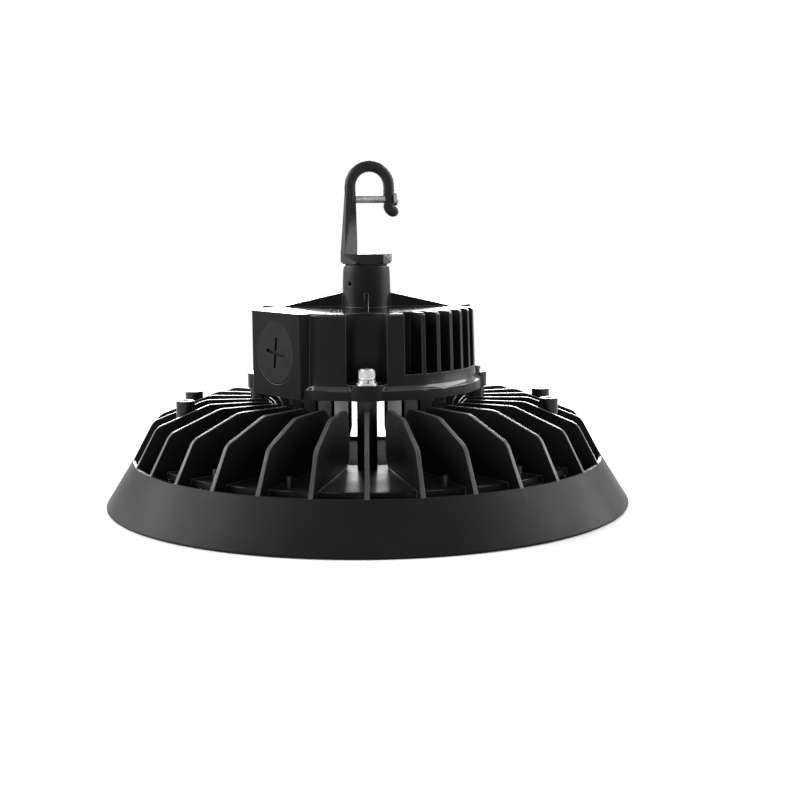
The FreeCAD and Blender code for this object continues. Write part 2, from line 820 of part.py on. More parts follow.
def driver_housing():
    """One aluminium casting: can, flange with four ears, ribs, port panel, neck and gussets."""
    body = new_body("driver_housing")
    flange_top = S.driver_bottom + S.flange_face
    outline = new_sketch(body, "housing_outline", "XZ_Plane")
    add_outline(outline, [
        (0.0, S.driver_bottom),
        (S.flange_radius, S.driver_bottom),
        (S.flange_radius, flange_top, S.edge_round),
        (S.driver_foot_radius, flange_top + S.flange_slope),
        (S.driver_top_radius, S.driver_top, S.driver_top_round),
        (S.neck_foot_radius, S.driver_top),
        (S.neck_radius, S.neck_top, S.edge_round),
        (S.neck_bore + S.thread_gap, S.neck_top),
        (S.neck_bore + S.thread_gap, S.neck_bore_floor),
        (0.0, S.neck_bore_floor),
    ])
    turn(body, "housing_turned", outline)

    # The port panel is a flat-faced block on the can's front left
    block = new_sketch(body, "panel_outline", height=S.driver_bottom)
    inward = S.cavity_radius
    add_outline(block, [
        (*panel_point(S.panel_azimuth, -S.panel_half, S.panel_offset), S.panel_round),
        panel_point(S.panel_azimuth, -S.panel_half, inward),
        panel_point(S.panel_azimuth, S.panel_half, inward),
        (*panel_point(S.panel_azimuth, S.panel_half, S.panel_offset), S.panel_round),
    ])
    extrude(body, "panel", block, S.driver_top - S.driver_bottom)
    trim = new_sketch(body, "flange_trim_outline", height=S.driver_bottom)
    outward = S.panel_offset + S.ear_radius
    add_outline(trim, [
        panel_point(S.panel_azimuth, -S.panel_half, S.panel_offset),
        panel_point(S.panel_azimuth, -S.panel_half, outward),
        panel_point(S.panel_azimuth, S.panel_half, outward),
        panel_point(S.panel_azimuth, S.panel_half, S.panel_offset),
    ])
    extrude(body, "flange_trim", trim, S.ear_top - S.driver_bottom, "Pocket", upward=True)

    seat = facing_sketch(body, "gland_seat_outline", S.gland_azimuth, S.gland_offset)
    add_circle(seat, 0.0, S.gland_height, S.gland_seat_radius)
    extrude(body, "gland_seat", seat, S.gland_offset - S.slot_inner_radius, upward=False)

    ear = new_sketch(body, "ear_outline", height=S.driver_bottom)
    add_circle(ear, 0.0, -S.ear_centre, S.ear_radius)
    ear = extrude(body, "ear", ear, S.ear_top - S.driver_bottom)
    repeat(body, "ears", ear, 4)
    channel = new_sketch(body, "channel_outline", height=S.driver_top)
    add_circle(channel, 0.0, -S.channel_centre, S.channel_radius)
    channel = extrude(body, "channel", channel, S.driver_top - S.ear_top, "Pocket")
    repeat(body, "channels", channel, 4)
    bolt_hole = new_sketch(body, "bolt_hole_outline", height=S.ear_top)
    add_circle(bolt_hole, 0.0, -S.bolt_circle, S.bolt_radius + S.slip_gap)
    bolt_hole = extrude(body, "bolt_hole", bolt_hole, S.ear_top - S.driver_bottom, "Pocket")
    repeat(body, "bolt_holes", bolt_hole, 2)
    side_hole = new_sketch(body, "side_hole_outline", height=S.ear_top)
    add_circle(side_hole, S.bolt_circle, 0.0, S.side_screw_radius + S.slip_gap)
    side_hole = extrude(body, "side_hole", side_hole, S.ear_top - S.driver_bottom, "Pocket")
    repeat(body, "side_holes", side_hole, 2)

    add_slots(body, "slot_wide", S.slot_first, S.slot_first_angle, 1)
    add_slots(body, "slot_front", S.slot_start, S.slot_angle, FRONT_SLOTS)
    add_slots(body, "slot_rear_right", S.slot_start_rear, S.slot_angle, REAR_SLOTS)
    add_slots(body, "slot_rear_left", -S.slot_start_rear, S.slot_angle, REAR_SLOTS, backward=True)

    gusset = new_sketch(body, "gusset_outline", "XZ_Plane")
    add_outline(gusset, [
        (S.neck_bore + SINK, S.driver_top - SINK),
        (S.gusset_reach, S.driver_top - SINK),
        (S.gusset_reach, S.driver_top),
        (S.neck_radius, S.driver_top + S.gusset_height),
        (S.neck_bore + SINK, S.driver_top + S.gusset_height),
    ])
    gusset = extrude(body, "gusset", gusset, S.gusset_thick, symmetric=True)
    repeat(body, "gussets", gusset, 4)

    cavity = new_sketch(body, "cavity_outline", "XZ_Plane")
    add_outline(cavity, [
        (0.0, S.cavity_top),
        (S.cavity_radius, S.cavity_top),
        (S.cavity_radius, S.recess_top),
        (S.base_radius + S.slip_gap, S.recess_top),
        (S.base_radius + S.slip_gap, S.driver_bottom - SINK),
        (0.0, S.driver_bottom - SINK),
    ])
    turn(body, "cavity", cavity, "Groove")

    # The cavity widens behind the panel, so that the port opens into it
    port_room = new_sketch(body, "port_room_outline", height=S.cavity_top)
    room_half = S.panel_half - S.panel_wall / 2
    room_end = S.panel_offset - S.panel_wall
    add_outline(port_room, [
        panel_point(S.panel_azimuth, -room_half, room_end),
        panel_point(S.panel_azimuth, -room_half, term(0.0)),
        panel_point(S.panel_azimuth, room_half, term(0.0)),
        panel_point(S.panel_azimuth, room_half, room_end),
    ])
    extrude(body, "port_room", port_room, S.cavity_top - S.ear_top, "Pocket")
    counterbore = facing_sketch(body, "counterbore_outline", S.panel_azimuth, S.panel_offset)
    add_circle(counterbore, 0.0, S.port_height, S.plug_radius + S.slip_gap)
    extrude(body, "counterbore", counterbore, S.plug_face + S.plug_seal_thick, "Pocket")
    port = facing_sketch(body, "port_outline", S.panel_azimuth, S.panel_offset)
    add_circle(port, 0.0, S.port_height, S.port_radius)
    extrude(body, "port", port, S.panel_wall + SINK, "Pocket")

    gland_hole = facing_sketch(body, "gland_hole_outline", S.gland_azimuth, S.gland_offset)
    add_circle(gland_hole, 0.0, S.gland_height, S.gland_radius)
    extrude(body, "gland_hole", gland_hole, S.gland_offset - S.cavity_radius + 2 * SINK, "Pocket")
    set_hole = facing_sketch(body, "set_screw_outline", S.set_screw_azimuth, S.neck_foot_radius)
    add_circle(set_hole, 0.0, S.set_screw_height, S.set_screw_radius)
    extrude(body, "set_screw_hole", set_hole, S.neck_foot_radius - S.neck_bore + SINK, "Pocket")

    screw_holes = new_sketch(body, "base_screw_hole_outlines", height=S.recess_top)
    add_circles(screw_holes, ring_places(S.base_screw_circle, BASE_SCREW_START),
                S.base_screw_radius + S.thread_gap)
    extrude(body, "base_screw_holes", screw_holes, S.base_screw_grip + S.slip_gap,
            "Pocket", upward=True)
    return body


def port_plug():
    """A threaded plug, flush with the panel, with a cross slot for a driver."""
    body = new_body("port_plug")
    outline = new_sketch(body, "plug_outline", "XZ_Plane")
    stub = S.port_radius - S.thread_gap
    add_outline(outline, [
        (0.0, 0.0),
        (S.plug_radius, 0.0, S.edge_round / 2),
        (S.plug_radius, -S.plug_face),
        (stub, -S.plug_face),
        (stub, -(S.plug_face + S.plug_stub)),
        (0.0, -(S.plug_face + S.plug_stub)),
    ])
    turn(body, "plug_turned", outline)
    cross = new_sketch(body, "cross_outline")
    cross.AttachmentOffset = FreeCAD.Placement(
        FreeCAD.Vector(), FreeCAD.Rotation(FreeCAD.Vector(0, 0, 1), S.plug_turn.value))
    bind(cross, "AttachmentOffset.Rotation.Angle", S.plug_turn)
    add_cross(cross, 0.0, 0.0, S.plug_cross_length, S.plug_cross_width)
    extrude(body, "cross", cross, S.plug_cross_depth, "Pocket")
    place_facing(body, S.panel_azimuth, S.panel_offset, S.port_height)
    return body


def plug_seal():
    body = flat_ring("plug_seal", S.port_radius + S.slip_gap, S.plug_radius - S.slip_gap,
                     -(S.plug_face + S.plug_seal_thick), S.plug_seal_thick)
    place_facing(body, S.panel_azimuth, S.panel_offset, S.port_height)
    return body


def driver_base():
    """The plate that closes the housing from below and carries the driver."""
    body = new_body("driver_base")
    outline = new_sketch(body, "base_outline", height=S.driver_bottom)
    add_circle(outline, 0.0, 0.0, S.base_radius)
    add_circle(outline, 0.0, 0.0, S.sleeve_radius + S.grommet_wall / 2)
    add_circles(outline, ring_places(S.base_screw_circle, BASE_SCREW_START),
                S.base_screw_radius + S.slip_gap)
    for side in (1.0, -1.0):
        add_circle(outline, side * S.foot_screw_offset, 0.0, S.base_screw_radius + S.thread_gap)
    extrude(body, "base_plate", outline, S.base_thick)
    return body


def base_screws():
    """The screws that hold the base plate up into the housing."""
    body = new_body("base_screws")
    screw = add_screw(body, "base_screw", around(S.base_screw_circle, BASE_SCREW_START),
                      S.driver_bottom, -S.small_head, S.small_head_radius, S.base_screw_radius,
                      S.recess_top + S.base_screw_grip)
    repeat(body, "base_screw_ring", screw, SMALL_SCREW_COUNT)
    return body


def led_driver():
    """The potted driver block on its two feet."""
    body = new_body("led_driver")
    block = new_sketch(body, "block_outline", height=S.base_top + S.foot_height)
    length, width = S.block_half, S.block_width / 2
    add_outline(block, [
        (-length, -width, S.block_round),
        (length, -width, S.block_round),
        (length, width, S.block_round),
        (-length, width, S.block_round),
    ])
    extrude(body, "block", block, S.block_height)
    feet = new_sketch(body, "feet_outlines", height=S.base_top)
    for side in (1.0, -1.0):
        add_outline(feet, [
            (side * (length - S.foot_half), -S.foot_half),
            (side * S.foot_reach, -S.foot_half),
            (side * S.foot_reach, S.foot_half),
            (side * (length - S.foot_half), S.foot_half),
        ])
    extrude(body, "feet", feet, S.foot_height)
    holes = new_sketch(body, "foot_hole_outlines", height=S.base_top + S.foot_height)
    for side in (1.0, -1.0):
        add_circle(holes, side * S.foot_screw_offset, 0.0, S.base_screw_radius + S.slip_gap)
    extrude(body, "foot_holes", holes, S.foot_height, "Pocket")
    return body


def driver_screws():
    """The two screws that hold the driver's feet to the base plate."""
    body = new_body("driver_screws")
    screw = add_screw(body, "driver_screw", (S.foot_screw_offset, 0.0),
                      S.base_top + S.foot_height, S.small_head, S.small_head_radius,
                      S.base_screw_radius, S.driver_bottom)
    repeat(body, "driver_screw_pair", screw, 2)
    return body


def lead_sleeve():
    """The tube that leads the driver's wires down to the board."""
    return flat_ring("lead_sleeve", S.sleeve_radius - S.sleeve_wall, S.sleeve_radius,
                     S.plate_bottom, S.base_top - S.plate_bottom)


def sleeve_grommet():
    """The rubber grommet in the driver base that grips the sleeve."""
    body = new_body("sleeve_grommet")
    inner = S.sleeve_radius + S.thread_gap
    waist = S.sleeve_radius + S.grommet_wall / 2 - S.thread_gap
    lip = S.sleeve_radius + S.grommet_wall
    outline = new_sketch(body, "grommet_outline", "XZ_Plane")
    add_outline(outline, [
        (inner, S.driver_bottom - S.grommet_lip),
        (lip, S.driver_bottom - S.grommet_lip, S.edge_round),
        (lip, S.driver_bottom),
        (waist, S.driver_bottom),
        (waist, S.base_top),
        (lip, S.base_top),
        (lip, S.base_top + S.grommet_lip, S.edge_round),
        (inner, S.base_top + S.grommet_lip),
    ])
    turn(body, "grommet_turned", outline)
    return body


def turned_pair(label, plane, corners, angle=360.0):
    """Two equal pieces turned about opposite bolt axes; the corners are radii and heights."""
    body = new_body(label)
    outline = new_sketch(body, label + "_outline", plane)
    add_outline(outline, [(S.bolt_circle + corner[0], *corner[1:]) for corner in corners])
    add_axis(outline, S.bolt_circle)
    first = turn(body, label + "_turned", outline, axis="Axis0", angle=angle, backward=True)
    repeat(body, label + "_pair", first, 2)
    return body


def housing_bolts():
    """Socket head bolts through the front and rear ears into the casting's bosses."""
    head_bottom = S.ear_top + S.washer_thick + S.spring_washer_thick
    head_top = head_bottom + S.bolt_head
    tip = S.driver_bottom - S.bolt_grip
    shank = S.bolt_radius - S.thread_gap
    return turned_pair("housing_bolts", "YZ_Plane", [
        (0.0, head_top - S.socket_depth),
        (S.socket_radius, head_top - S.socket_depth),
        (S.socket_radius, head_top),
        (S.bolt_head_radius, head_top, S.edge_round),
        (S.bolt_head_radius, head_bottom),
        (shank, head_bottom),
        (shank, tip),
        (0.0, tip),
    ])


def spring_washers():
    """Split washers under the bolt heads."""
    bottom = S.ear_top + S.washer_thick
    return turned_pair("spring_washers", "YZ_Plane", [
        (S.bolt_radius + S.thread_gap, bottom),
        (S.spring_washer_radius, bottom),
        (S.spring_washer_radius, bottom + S.spring_washer_thick),
        (S.bolt_radius + S.thread_gap, bottom + S.spring_washer_thick),
    ], S.spring_washer_sweep)


def flat_washers():
    """Plain washers between the split washers and the ears."""
    return turned_pair("flat_washers", "YZ_Plane", [
        (S.bolt_radius + S.slip_gap, S.ear_top),
        (S.washer_radius, S.ear_top),
        (S.washer_radius, S.ear_top + S.washer_thick),
        (S.bolt_radius + S.slip_gap, S.ear_top + S.washer_thick),
    ])


def side_screws():
    """Black round-head screws through the side ears into the casting's bosses."""
    body = new_body("side_screws")
    screw = add_screw(body, "side_screw", (S.bolt_circle, 0.0), S.ear_top, S.side_head,
                      S.side_head_radius, S.side_screw_radius - S.thread_gap,
                      S.driver_bottom - S.bolt_grip)
    repeat(body, "side_screw_pair", screw, 2)
    return body


def hook():
    """A cast hook: threaded stem, hexagonal collar, tapering arm, arch and curled leg."""
    body = new_body("hook")
    stem_bottom = S.neck_bore_floor + 2 * SINK
    stem = new_sketch(body, "stem_outline", height=stem_bottom)
    add_circle(stem, 0.0, 0.0, S.neck_bore)
    extrude(body, "stem", stem, S.collar_bottom - stem_bottom)
    collar = new_sketch(body, "collar_outline", height=S.collar_bottom)
    add_outline(collar, [around(S.collar_radius, 90.0 + 60.0 * corner) for corner in range(6)])
    extrude(body, "collar", collar, S.collar_height)
    chamfer = new_sketch(body, "chamfer_outline", "XZ_Plane")
    chamfer_end = S.neck_radius + 2 * S.collar_margin
    add_outline(chamfer, [
        (S.neck_radius, S.collar_bottom),
        (chamfer_end, S.collar_bottom),
        (chamfer_end, S.collar_bottom + 2 * S.collar_chamfer),
    ])
    turn(body, "chamfer", chamfer, "Groove")

    # The arm starts flush with two faces of the collar and tapers to the rod
    rod, radius = S.arm_place, S.rod_radius
    foot = new_sketch(body, "arm_foot_outline", height=S.collar_top - SINK)
    middle, side = S.collar_radius / 2, S.collar_radius * cosine(30.0)
    nose, flank = S.arm_foot_nose, S.arm_foot_flank
    add_outline(foot, [
        (-S.collar_radius, 0.0),
        (nose * middle - S.collar_radius, -(nose * side)),
        (flank * middle - S.collar_radius, -(flank * side)),
        (-middle, -side),
        (-middle, side),
        (flank * middle - S.collar_radius, flank * side),
        (nose * middle - S.collar_radius, nose * side),
    ])
    head = new_sketch(body, "arm_head_outline", height=S.arm_top)
    add_outline(head, [
        (rod - radius, 0.0),
        (rod - S.arm_head_nose * radius, -(S.arm_head_nose_half * radius)),
        (rod + S.arm_head_middle * radius, -radius),
        (rod + S.arm_head_back * radius, -(S.arm_head_back_half * radius)),
        (rod + S.arm_head_back * radius, S.arm_head_back_half * radius),
        (rod + S.arm_head_middle * radius, radius),
        (rod - S.arm_head_nose * radius, S.arm_head_nose_half * radius),
    ])
    arm = body.newObject("PartDesign::AdditiveLoft", "arm")
    arm.Profile = foot
    arm.Sections = [head]
    arm.Ruled = True
    doc.recompute()

    # The arm's rod, the arch over the throat, the leg and the curl at its end
    rod_end = new_sketch(body, "rod_outline", height=S.arm_top - SINK)
    add_circle(rod_end, rod, 0.0, S.rod_radius)
    extrude(body, "rod", rod_end, S.arch_height - S.arm_top + SINK)
    arch = new_sketch(body, "arch_outline", height=S.arch_height)
    add_circle(arch, rod, 0.0, S.rod_radius)
    add_axis(arch, S.arch_offset)
    turn(body, "arch", arch, axis="Axis0", angle=180.0)
    leg_place = S.leg_place
    leg = new_sketch(body, "leg_outline", height=S.leg_bottom)
    add_circle(leg, leg_place, 0.0, S.rod_radius)
    extrude(body, "leg", leg, S.arch_height - S.leg_bottom)
    curl = new_sketch(body, "curl_outline", height=S.leg_bottom)
    add_circle(curl, leg_place, 0.0, S.rod_radius)
    add_axis(curl, leg_place + S.curl_radius)
    turn(body, "curl", curl, axis="Axis0", angle=S.curl_angle, backward=True)
    ball_place = leg_place + S.curl_radius - S.curl_radius * cosine(S.curl_angle)
    ball_height = S.leg_bottom - S.curl_radius * sine(S.curl_angle)
    ball = body.newObject("PartDesign::AdditiveSphere", "tip")
    ball.Radius = S.rod_radius.value
    bind(ball, "Radius", S.rod_radius)
    ball.AttachmentSupport = [(origin_item(body, "XY_Plane"), "")]
    ball.MapMode = "FlatFace"
    ball.AttachmentOffset = FreeCAD.Placement(
        FreeCAD.Vector(ball_place.value, 0, ball_height.value), FreeCAD.Rotation())
    bind(ball, "AttachmentOffset.Base.x", ball_place)
    bind(ball, "AttachmentOffset.Base.z", ball_height)
    doc.recompute()

    # A clear hole in the leg with a flat for the screw head, and a thread in the arm
    seat = facing_sketch(body, "screw_seat_outline", 90.0, leg_place + 2 * S.rod_radius)
    add_circle(seat, 0.0, S.safety_height, S.safety_head_radius + S.slip_gap)
    extrude(body, "screw_seat", seat, leg_place + 2 * S.rod_radius - S.safety_seat, "Pocket")
    hole = facing_sketch(body, "screw_hole_outline", 90.0, leg_place + 2 * S.rod_radius)
    add_circle(hole, 0.0, S.safety_height, S.safety_radius + S.thread_gap)
    hole_end = S.safety_tip - S.slip_gap
    extrude(body, "screw_hole", hole, leg_place + 2 * S.rod_radius - hole_end, "Pocket")
    body.Placement = FreeCAD.Placement(
        FreeCAD.Vector(0, 0, 0), FreeCAD.Rotation(FreeCAD.Vector(0, 0, 1), S.hook_turn.value))
    bind(body, "Placement.Rotation.Angle", S.hook_turn)
    return body


def safety_screw():
    """The round-head screw that closes the hook's throat."""
    body = new_body("safety_screw")
    outline = new_sketch(body, "safety_outline", "XY_Plane", S.safety_height)
    add_outline(outline, [
        (S.safety_tip, 0.0),
        (S.safety_seat + S.safety_head, 0.0),
        (S.safety_seat + S.safety_head, S.safety_head_radius, S.safety_head / 2),
        (S.safety_seat, S.safety_head_radius),
        (S.safety_seat, S.safety_radius),
        (S.safety_tip, S.safety_radius),
    ])
    turn(body, "safety_turned", outline, axis="H_Axis")
    recess = facing_sketch(body, "safety_recess_outline", 90.0, S.safety_seat + S.safety_head)
    add_cross(recess, 0.0, S.safety_height, S.safety_head_radius, S.safety_head_radius / 4)
    extrude(body, "safety_recess", recess, S.safety_head / 2, "Pocket")
    body.Placement = FreeCAD.Placement(
        FreeCAD.Vector(0, 0, 0), FreeCAD.Rotation(FreeCAD.Vector(0, 0, 1), S.hook_turn.value))
    bind(body, "Placement.Rotation.Angle", S.hook_turn)
    return body


def set_screw():
    """The grub screw that locks the hook's stem in the neck."""
    body = new_body("set_screw")
    outline = new_sketch(body, "grub_outline", "XZ_Plane")
    reach = S.set_screw_radius
    length = S.neck_radius - S.set_screw_depth - S.neck_bore - S.slip_gap
    add_outline(outline, [
        (0.0, -(reach / 2)),
        (reach / 2, -(reach / 2)),
        (reach / 2, 0.0),
        (reach - S.thread_gap, 0.0),
        (reach - S.thread_gap, -length),
        (0.0, -length),
    ])
    turn(body, "grub_turned", outline)
    place_facing(body, S.set_screw_azimuth, S.neck_radius - S.set_screw_depth, S.set_screw_height)
    return body


def neck_seal():
    return flat_ring("neck_seal", S.neck_bore + S.thread_gap, S.neck_seal_radius,
                     S.neck_top, S.neck_seal_thick)


def gland_body():
    """The gland's hexagon and threaded stub, built about Z with the seat at zero."""
    body = new_body("gland_body")
    start = S.gland_seal_thick
    hexagon = new_sketch(body, "gland_hexagon_outline", height=start)
    corners = [around(S.gland_hex_radius, 60.0 * corner) for corner in range(6)]
    add_outline(hexagon, corners)
    extrude(body, "gland_hexagon", hexagon, S.gland_hex)
    stub = new_sketch(body, "gland_stub_outline", height=start)
    add_circle(stub, 0.0, 0.0, S.gland_radius - S.thread_gap)
    extrude(body, "gland_stub", stub, S.gland_stub + start, upward=False)
    collar = new_sketch(body, "gland_collar_outline", height=start + S.gland_hex)
    add_circle(collar, 0.0, 0.0, S.gland_radius)
    extrude(body, "gland_collar", collar, S.gland_nut_length / 2)
    bore = new_sketch(body, "gland_bore_outline", height=start + S.gland_hex + S.gland_nut_length)
    add_circle(bore, 0.0, 0.0, S.gland_insert_radius + S.thread_gap)
    extrude(body, "gland_bore", bore,
            S.gland_hex + S.gland_nut_length + S.gland_stub + 2 * start, "Pocket")
    place_facing(body, S.gland_azimuth, S.gland_offset, S.gland_height)
    return body


def gland_nut():
    """The ribless domed nut that closes the gland."""
    body = new_body("gland_nut")
    bottom = S.gland_seal_thick + S.gland_hex
    top = bottom + S.gland_nut_length
    inner = S.gland_radius + S.thread_gap
    outline = new_sketch(body, "gland_nut_outline", "XZ_Plane")
    add_outline(outline, [
        (inner, bottom),
        (S.gland_nut_radius, bottom),
        (S.gland_nut_radius, top - S.gland_nut_length / 4, S.edge_round),
        (S.gland_radius, top, S.edge_round),
        (S.gland_insert_radius + S.thread_gap, top),
        (S.gland_insert_radius + S.thread_gap, top - S.gland_nut_length / 4),
        (inner, top - S.gland_nut_length / 2),
    ])
    turn(body, "gland_nut_turned", outline)
    place_facing(body, S.gland_azimuth, S.gland_offset, S.gland_height)
    return body


def gland_insert():
    """The blank rubber insert that seals the gland while no cable is fitted."""
    body = new_body("gland_insert")
    bottom = S.gland_seal_thick
    outline = new_sketch(body, "gland_insert_outline", height=bottom)
    add_circle(outline, 0.0, 0.0, S.gland_insert_radius)
    extrude(body, "gland_insert_plug", outline, S.gland_hex + S.gland_nut_length - S.slip_gap)
    place_facing(body, S.gland_azimuth, S.gland_offset, S.gland_height)
    return body


def gland_seal():
    body = flat_ring("gland_seal", S.gland_radius + S.thread_gap, S.gland_hex_radius * cosine(30.0),
                     term(0.0), S.gland_seal_thick)
    place_facing(body, S.gland_azimuth, S.gland_offset, S.gland_height)
    return body


def lens_seal():
    return flat_ring("lens_seal", S.lens_seal_radius, S.lens_seal_radius + S.lens_seal_width,
                     S.lens_seat, S.lens_seal_thick)


def base_seal():
    return flat_ring("base_seal", S.base_seal_radius, S.base_seal_radius + S.base_seal_width,
                     S.base_top, S.base_seal_thick)


BUILDERS = (
    heat_sink, led_board, led_chips, board_connector, board_screws, lens, lens_seal, lens_screws,
    driver_housing, port_plug, plug_seal, driver_base, base_seal, base_screws, led_driver,
    driver_screws, lead_sleeve, sleeve_grommet, housing_bolts, spring_washers, flat_washers,
    side_screws, neck_seal, hook, safety_screw, set_screw, gland_body, gland_nut, gland_insert,
    gland_seal,
)

nodes = [build() for build in BUILDERS]
doc.recompute()

for item in doc.Objects:
    if "Invalid" in item.State or "Error" in item.State:
        raise RuntimeError(f"{item.Label} did not recompute: {item.State}")
for node in nodes:
    if node.Shape.isNull() or not node.Shape.isValid() or not node.Shape.Solids:
        raise RuntimeError(f"{node.Label} has no valid solid")
for node in nodes:
    node.Shape.exportStep(f"parts/{node.Label}.step")
    print(node.Label, len(node.Shape.Solids), round(node.Shape.Volume, 1))
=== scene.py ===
import math

import bmesh
import bpy
from bpy.props import FloatProperty, FloatVectorProperty, IntProperty, PointerProperty
from mathutils import Matrix, Vector
from mathutils.bvhtree import BVHTree


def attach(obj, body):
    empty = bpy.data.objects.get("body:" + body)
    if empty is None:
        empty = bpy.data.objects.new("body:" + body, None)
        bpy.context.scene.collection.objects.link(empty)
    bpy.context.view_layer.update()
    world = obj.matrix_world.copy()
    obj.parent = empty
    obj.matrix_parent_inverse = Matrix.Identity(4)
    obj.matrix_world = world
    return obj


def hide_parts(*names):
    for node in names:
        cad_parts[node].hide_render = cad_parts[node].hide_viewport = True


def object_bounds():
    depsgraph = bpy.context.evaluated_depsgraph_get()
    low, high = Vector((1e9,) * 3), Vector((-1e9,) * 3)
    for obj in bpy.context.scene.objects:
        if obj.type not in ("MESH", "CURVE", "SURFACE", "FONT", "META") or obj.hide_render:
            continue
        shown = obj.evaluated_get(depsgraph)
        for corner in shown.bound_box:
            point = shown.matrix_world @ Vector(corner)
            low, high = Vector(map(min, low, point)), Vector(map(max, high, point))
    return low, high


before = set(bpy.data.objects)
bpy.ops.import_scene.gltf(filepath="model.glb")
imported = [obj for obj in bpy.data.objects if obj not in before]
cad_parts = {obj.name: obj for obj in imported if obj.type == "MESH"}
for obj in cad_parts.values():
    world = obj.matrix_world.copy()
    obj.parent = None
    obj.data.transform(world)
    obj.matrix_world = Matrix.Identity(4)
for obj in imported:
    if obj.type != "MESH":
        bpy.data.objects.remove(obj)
CAD_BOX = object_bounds()

bl_info = {
    "name": "High bay light",
    "version": (1, 0, 0),
    "blender": (4, 5, 0),
    "location": "3D View > Sidebar > High bay light",
    "description": "Dresses a packed high bay light in its castings, fasteners, lens and studio",
    "category": "Object",
}

MM = 0.001
TAB = "High bay light"

# A copy of a CAD shape: points nearer than this are one, no edge is shorter than the second,
# and faces that turn less than the angle are one. Millimetres and degrees
WELD = 0.002
SHORTEST_EDGE = 0.15
FLAT_ANGLE = 0.3

# Edges that turn more than this are rounded, in degrees, and a rounded point that is further off
# the sharp shape than this share of the rounding has strayed
EDGE_ANGLE = 60.0
STRAY = 0.8

# The share of a face's normal that points along a direction: at least this for a face that is
# level, sloping, hardly sloping or facing that way, and at most this for an upright one
LEVEL = 0.9
SLOPING = 0.3
HARDLY_SLOPING = 0.05
FACING = 0.999
UPRIGHT = 0.01

# Where the finishes of the heat sink meet: heights, a margin for both, and radii, in millimetres
WELL_FLOOR = 28.0
PLATE_TOP = 30.0
LEVEL_MARGIN = 0.5
WELL_REACH = 53.5
FIN_REACH = 146.0

# The phosphor's step below its frame on each LED, in millimetres
PHOSPHOR_STEP = 0.12

# The bolts at the front and rear of the driver housing: their circle's radius, and one bolt's
# rings as radius, height and shape, from its tip to the floor of its socket, in millimetres
BOLT_CIRCLE = 66.0
BOLT_RINGS = (
    (2.45, 57.8), (2.95, 58.3), (2.95, 81.8), (4.5, 81.8), (4.75, 82.1), (4.8, 82.7),
    (4.8, 82.9, "knurled"), (4.8, 87.0, "knurled"), (4.7, 87.2), (4.1, 88.0), (3.15, 88.0),
    (2.9, 87.8, "hex"), (2.9, 84.6, "hex"),
)
BOLT_EDGE_ANGLE = 28.0
KNURL_DEPTH = 0.22

# The way the port panel faces, as an azimuth from the front
PANEL_AZIMUTH = -51.0

# The gland on the back: its azimuth from the front, its distance and height, and its nut's
# rings as radius, distance out and shape, along the outside and back through the bore
GLAND_AZIMUTH = 156.0
GLAND_OFFSET = 68.5
GLAND_HEIGHT = 97.0
NUT_RINGS = (
    (8.05, 6.2), (10.4, 6.2), (10.6, 6.6), (10.6, 7.4), (10.6, 8.0, "fluted"),
    (10.6, 13.8, "fluted"), (10.6, 14.6), (10.4, 15.8), (9.7, 17.6), (8.6, 18.8), (8.0, 19.2),
    (5.6, 19.2), (5.05, 18.6), (5.05, 15.95), (8.05, 12.7),
)
NUT_POINTS = 128
NUT_EDGE_ANGLE = 50.0
FLUTES = 16
FLUTE_DEPTH = 0.8

# The screw across the hook: the way it points, and its thread's end, pitch and depth
HOOK_TURN = 11.0
THREAD_END = 16.6
THREAD_PITCH = 0.8
THREAD_DEPTH = 0.12

# A finish: no squeeze along any axis, and the parts of its noise that its tones and gloss span
EVEN = (1.0, 1.0, 1.0)
TONE_SPAN = (0.32, 0.68)
GLOSS_SPAN = (0.3, 0.7)

# The studio: its white, the world's light on the object, and each soft light's place, aim, width
# and height in metres
WHITE = "ffffff"
AIR_LIGHT = 0.35
LEFT_SOFTBOX = ((-1.2, 0.05, 0.65), (0.0, 0.0, 0.05), 1.4, 1.2)
RIGHT_SOFTBOX = ((1.1, 0.2, 0.6), (0.0, 0.0, 0.05), 1.1, 1.1)
REAR_SOFTBOX = ((0.0, 1.6, 0.5), (0.0, 0.0, 0.1), 1.6, 0.7)

# The floor: its colour, half its side in metres, its gap below the object in millimetres, and
# the share of its reach at which it starts to fade
FLOOR_TINT = "f6f6f6"
FLOOR_HALF = 40.0
FLOOR_GAP = 0.2
FADE_START = 0.35

# The camera that took the photo: lens and sensor in millimetres, place in metres, degrees
CAMERA_LENS = 66.5
CAMERA_SENSOR = 36.0
CAMERA_PLACE = (0.0044, -0.9010, 0.1844)
CAMERA_YAW = -0.99
CAMERA_PITCH = -7.8
CAMERA_ROLL = -0.37


# Colours, nodes and finishes

def linear(code):
    """The linear colour of an sRGB hex code such as 1a2b3c."""
    channels = []
    for start in (0, 2, 4):
        value = int(code[start:start + 2], 16) / 255
        channels.append(value / 12.92 if value <= 0.04045 else ((value + 0.055) / 1.055) ** 2.4)
    return (*channels, 1.0)


def add_node(tree, kind, settings=None, values=None, links=None):
    """Add a node with its settings, its inputs' values and links into its inputs."""
    node = tree.nodes.new(kind)
    for name, value in (settings or {}).items():
        setattr(node, name, value)
    for key, value in (values or {}).items():
        node.inputs[key].default_value = value
    for key, socket in (links or {}).items():
        tree.links.new(socket, node.inputs[key])
    return node


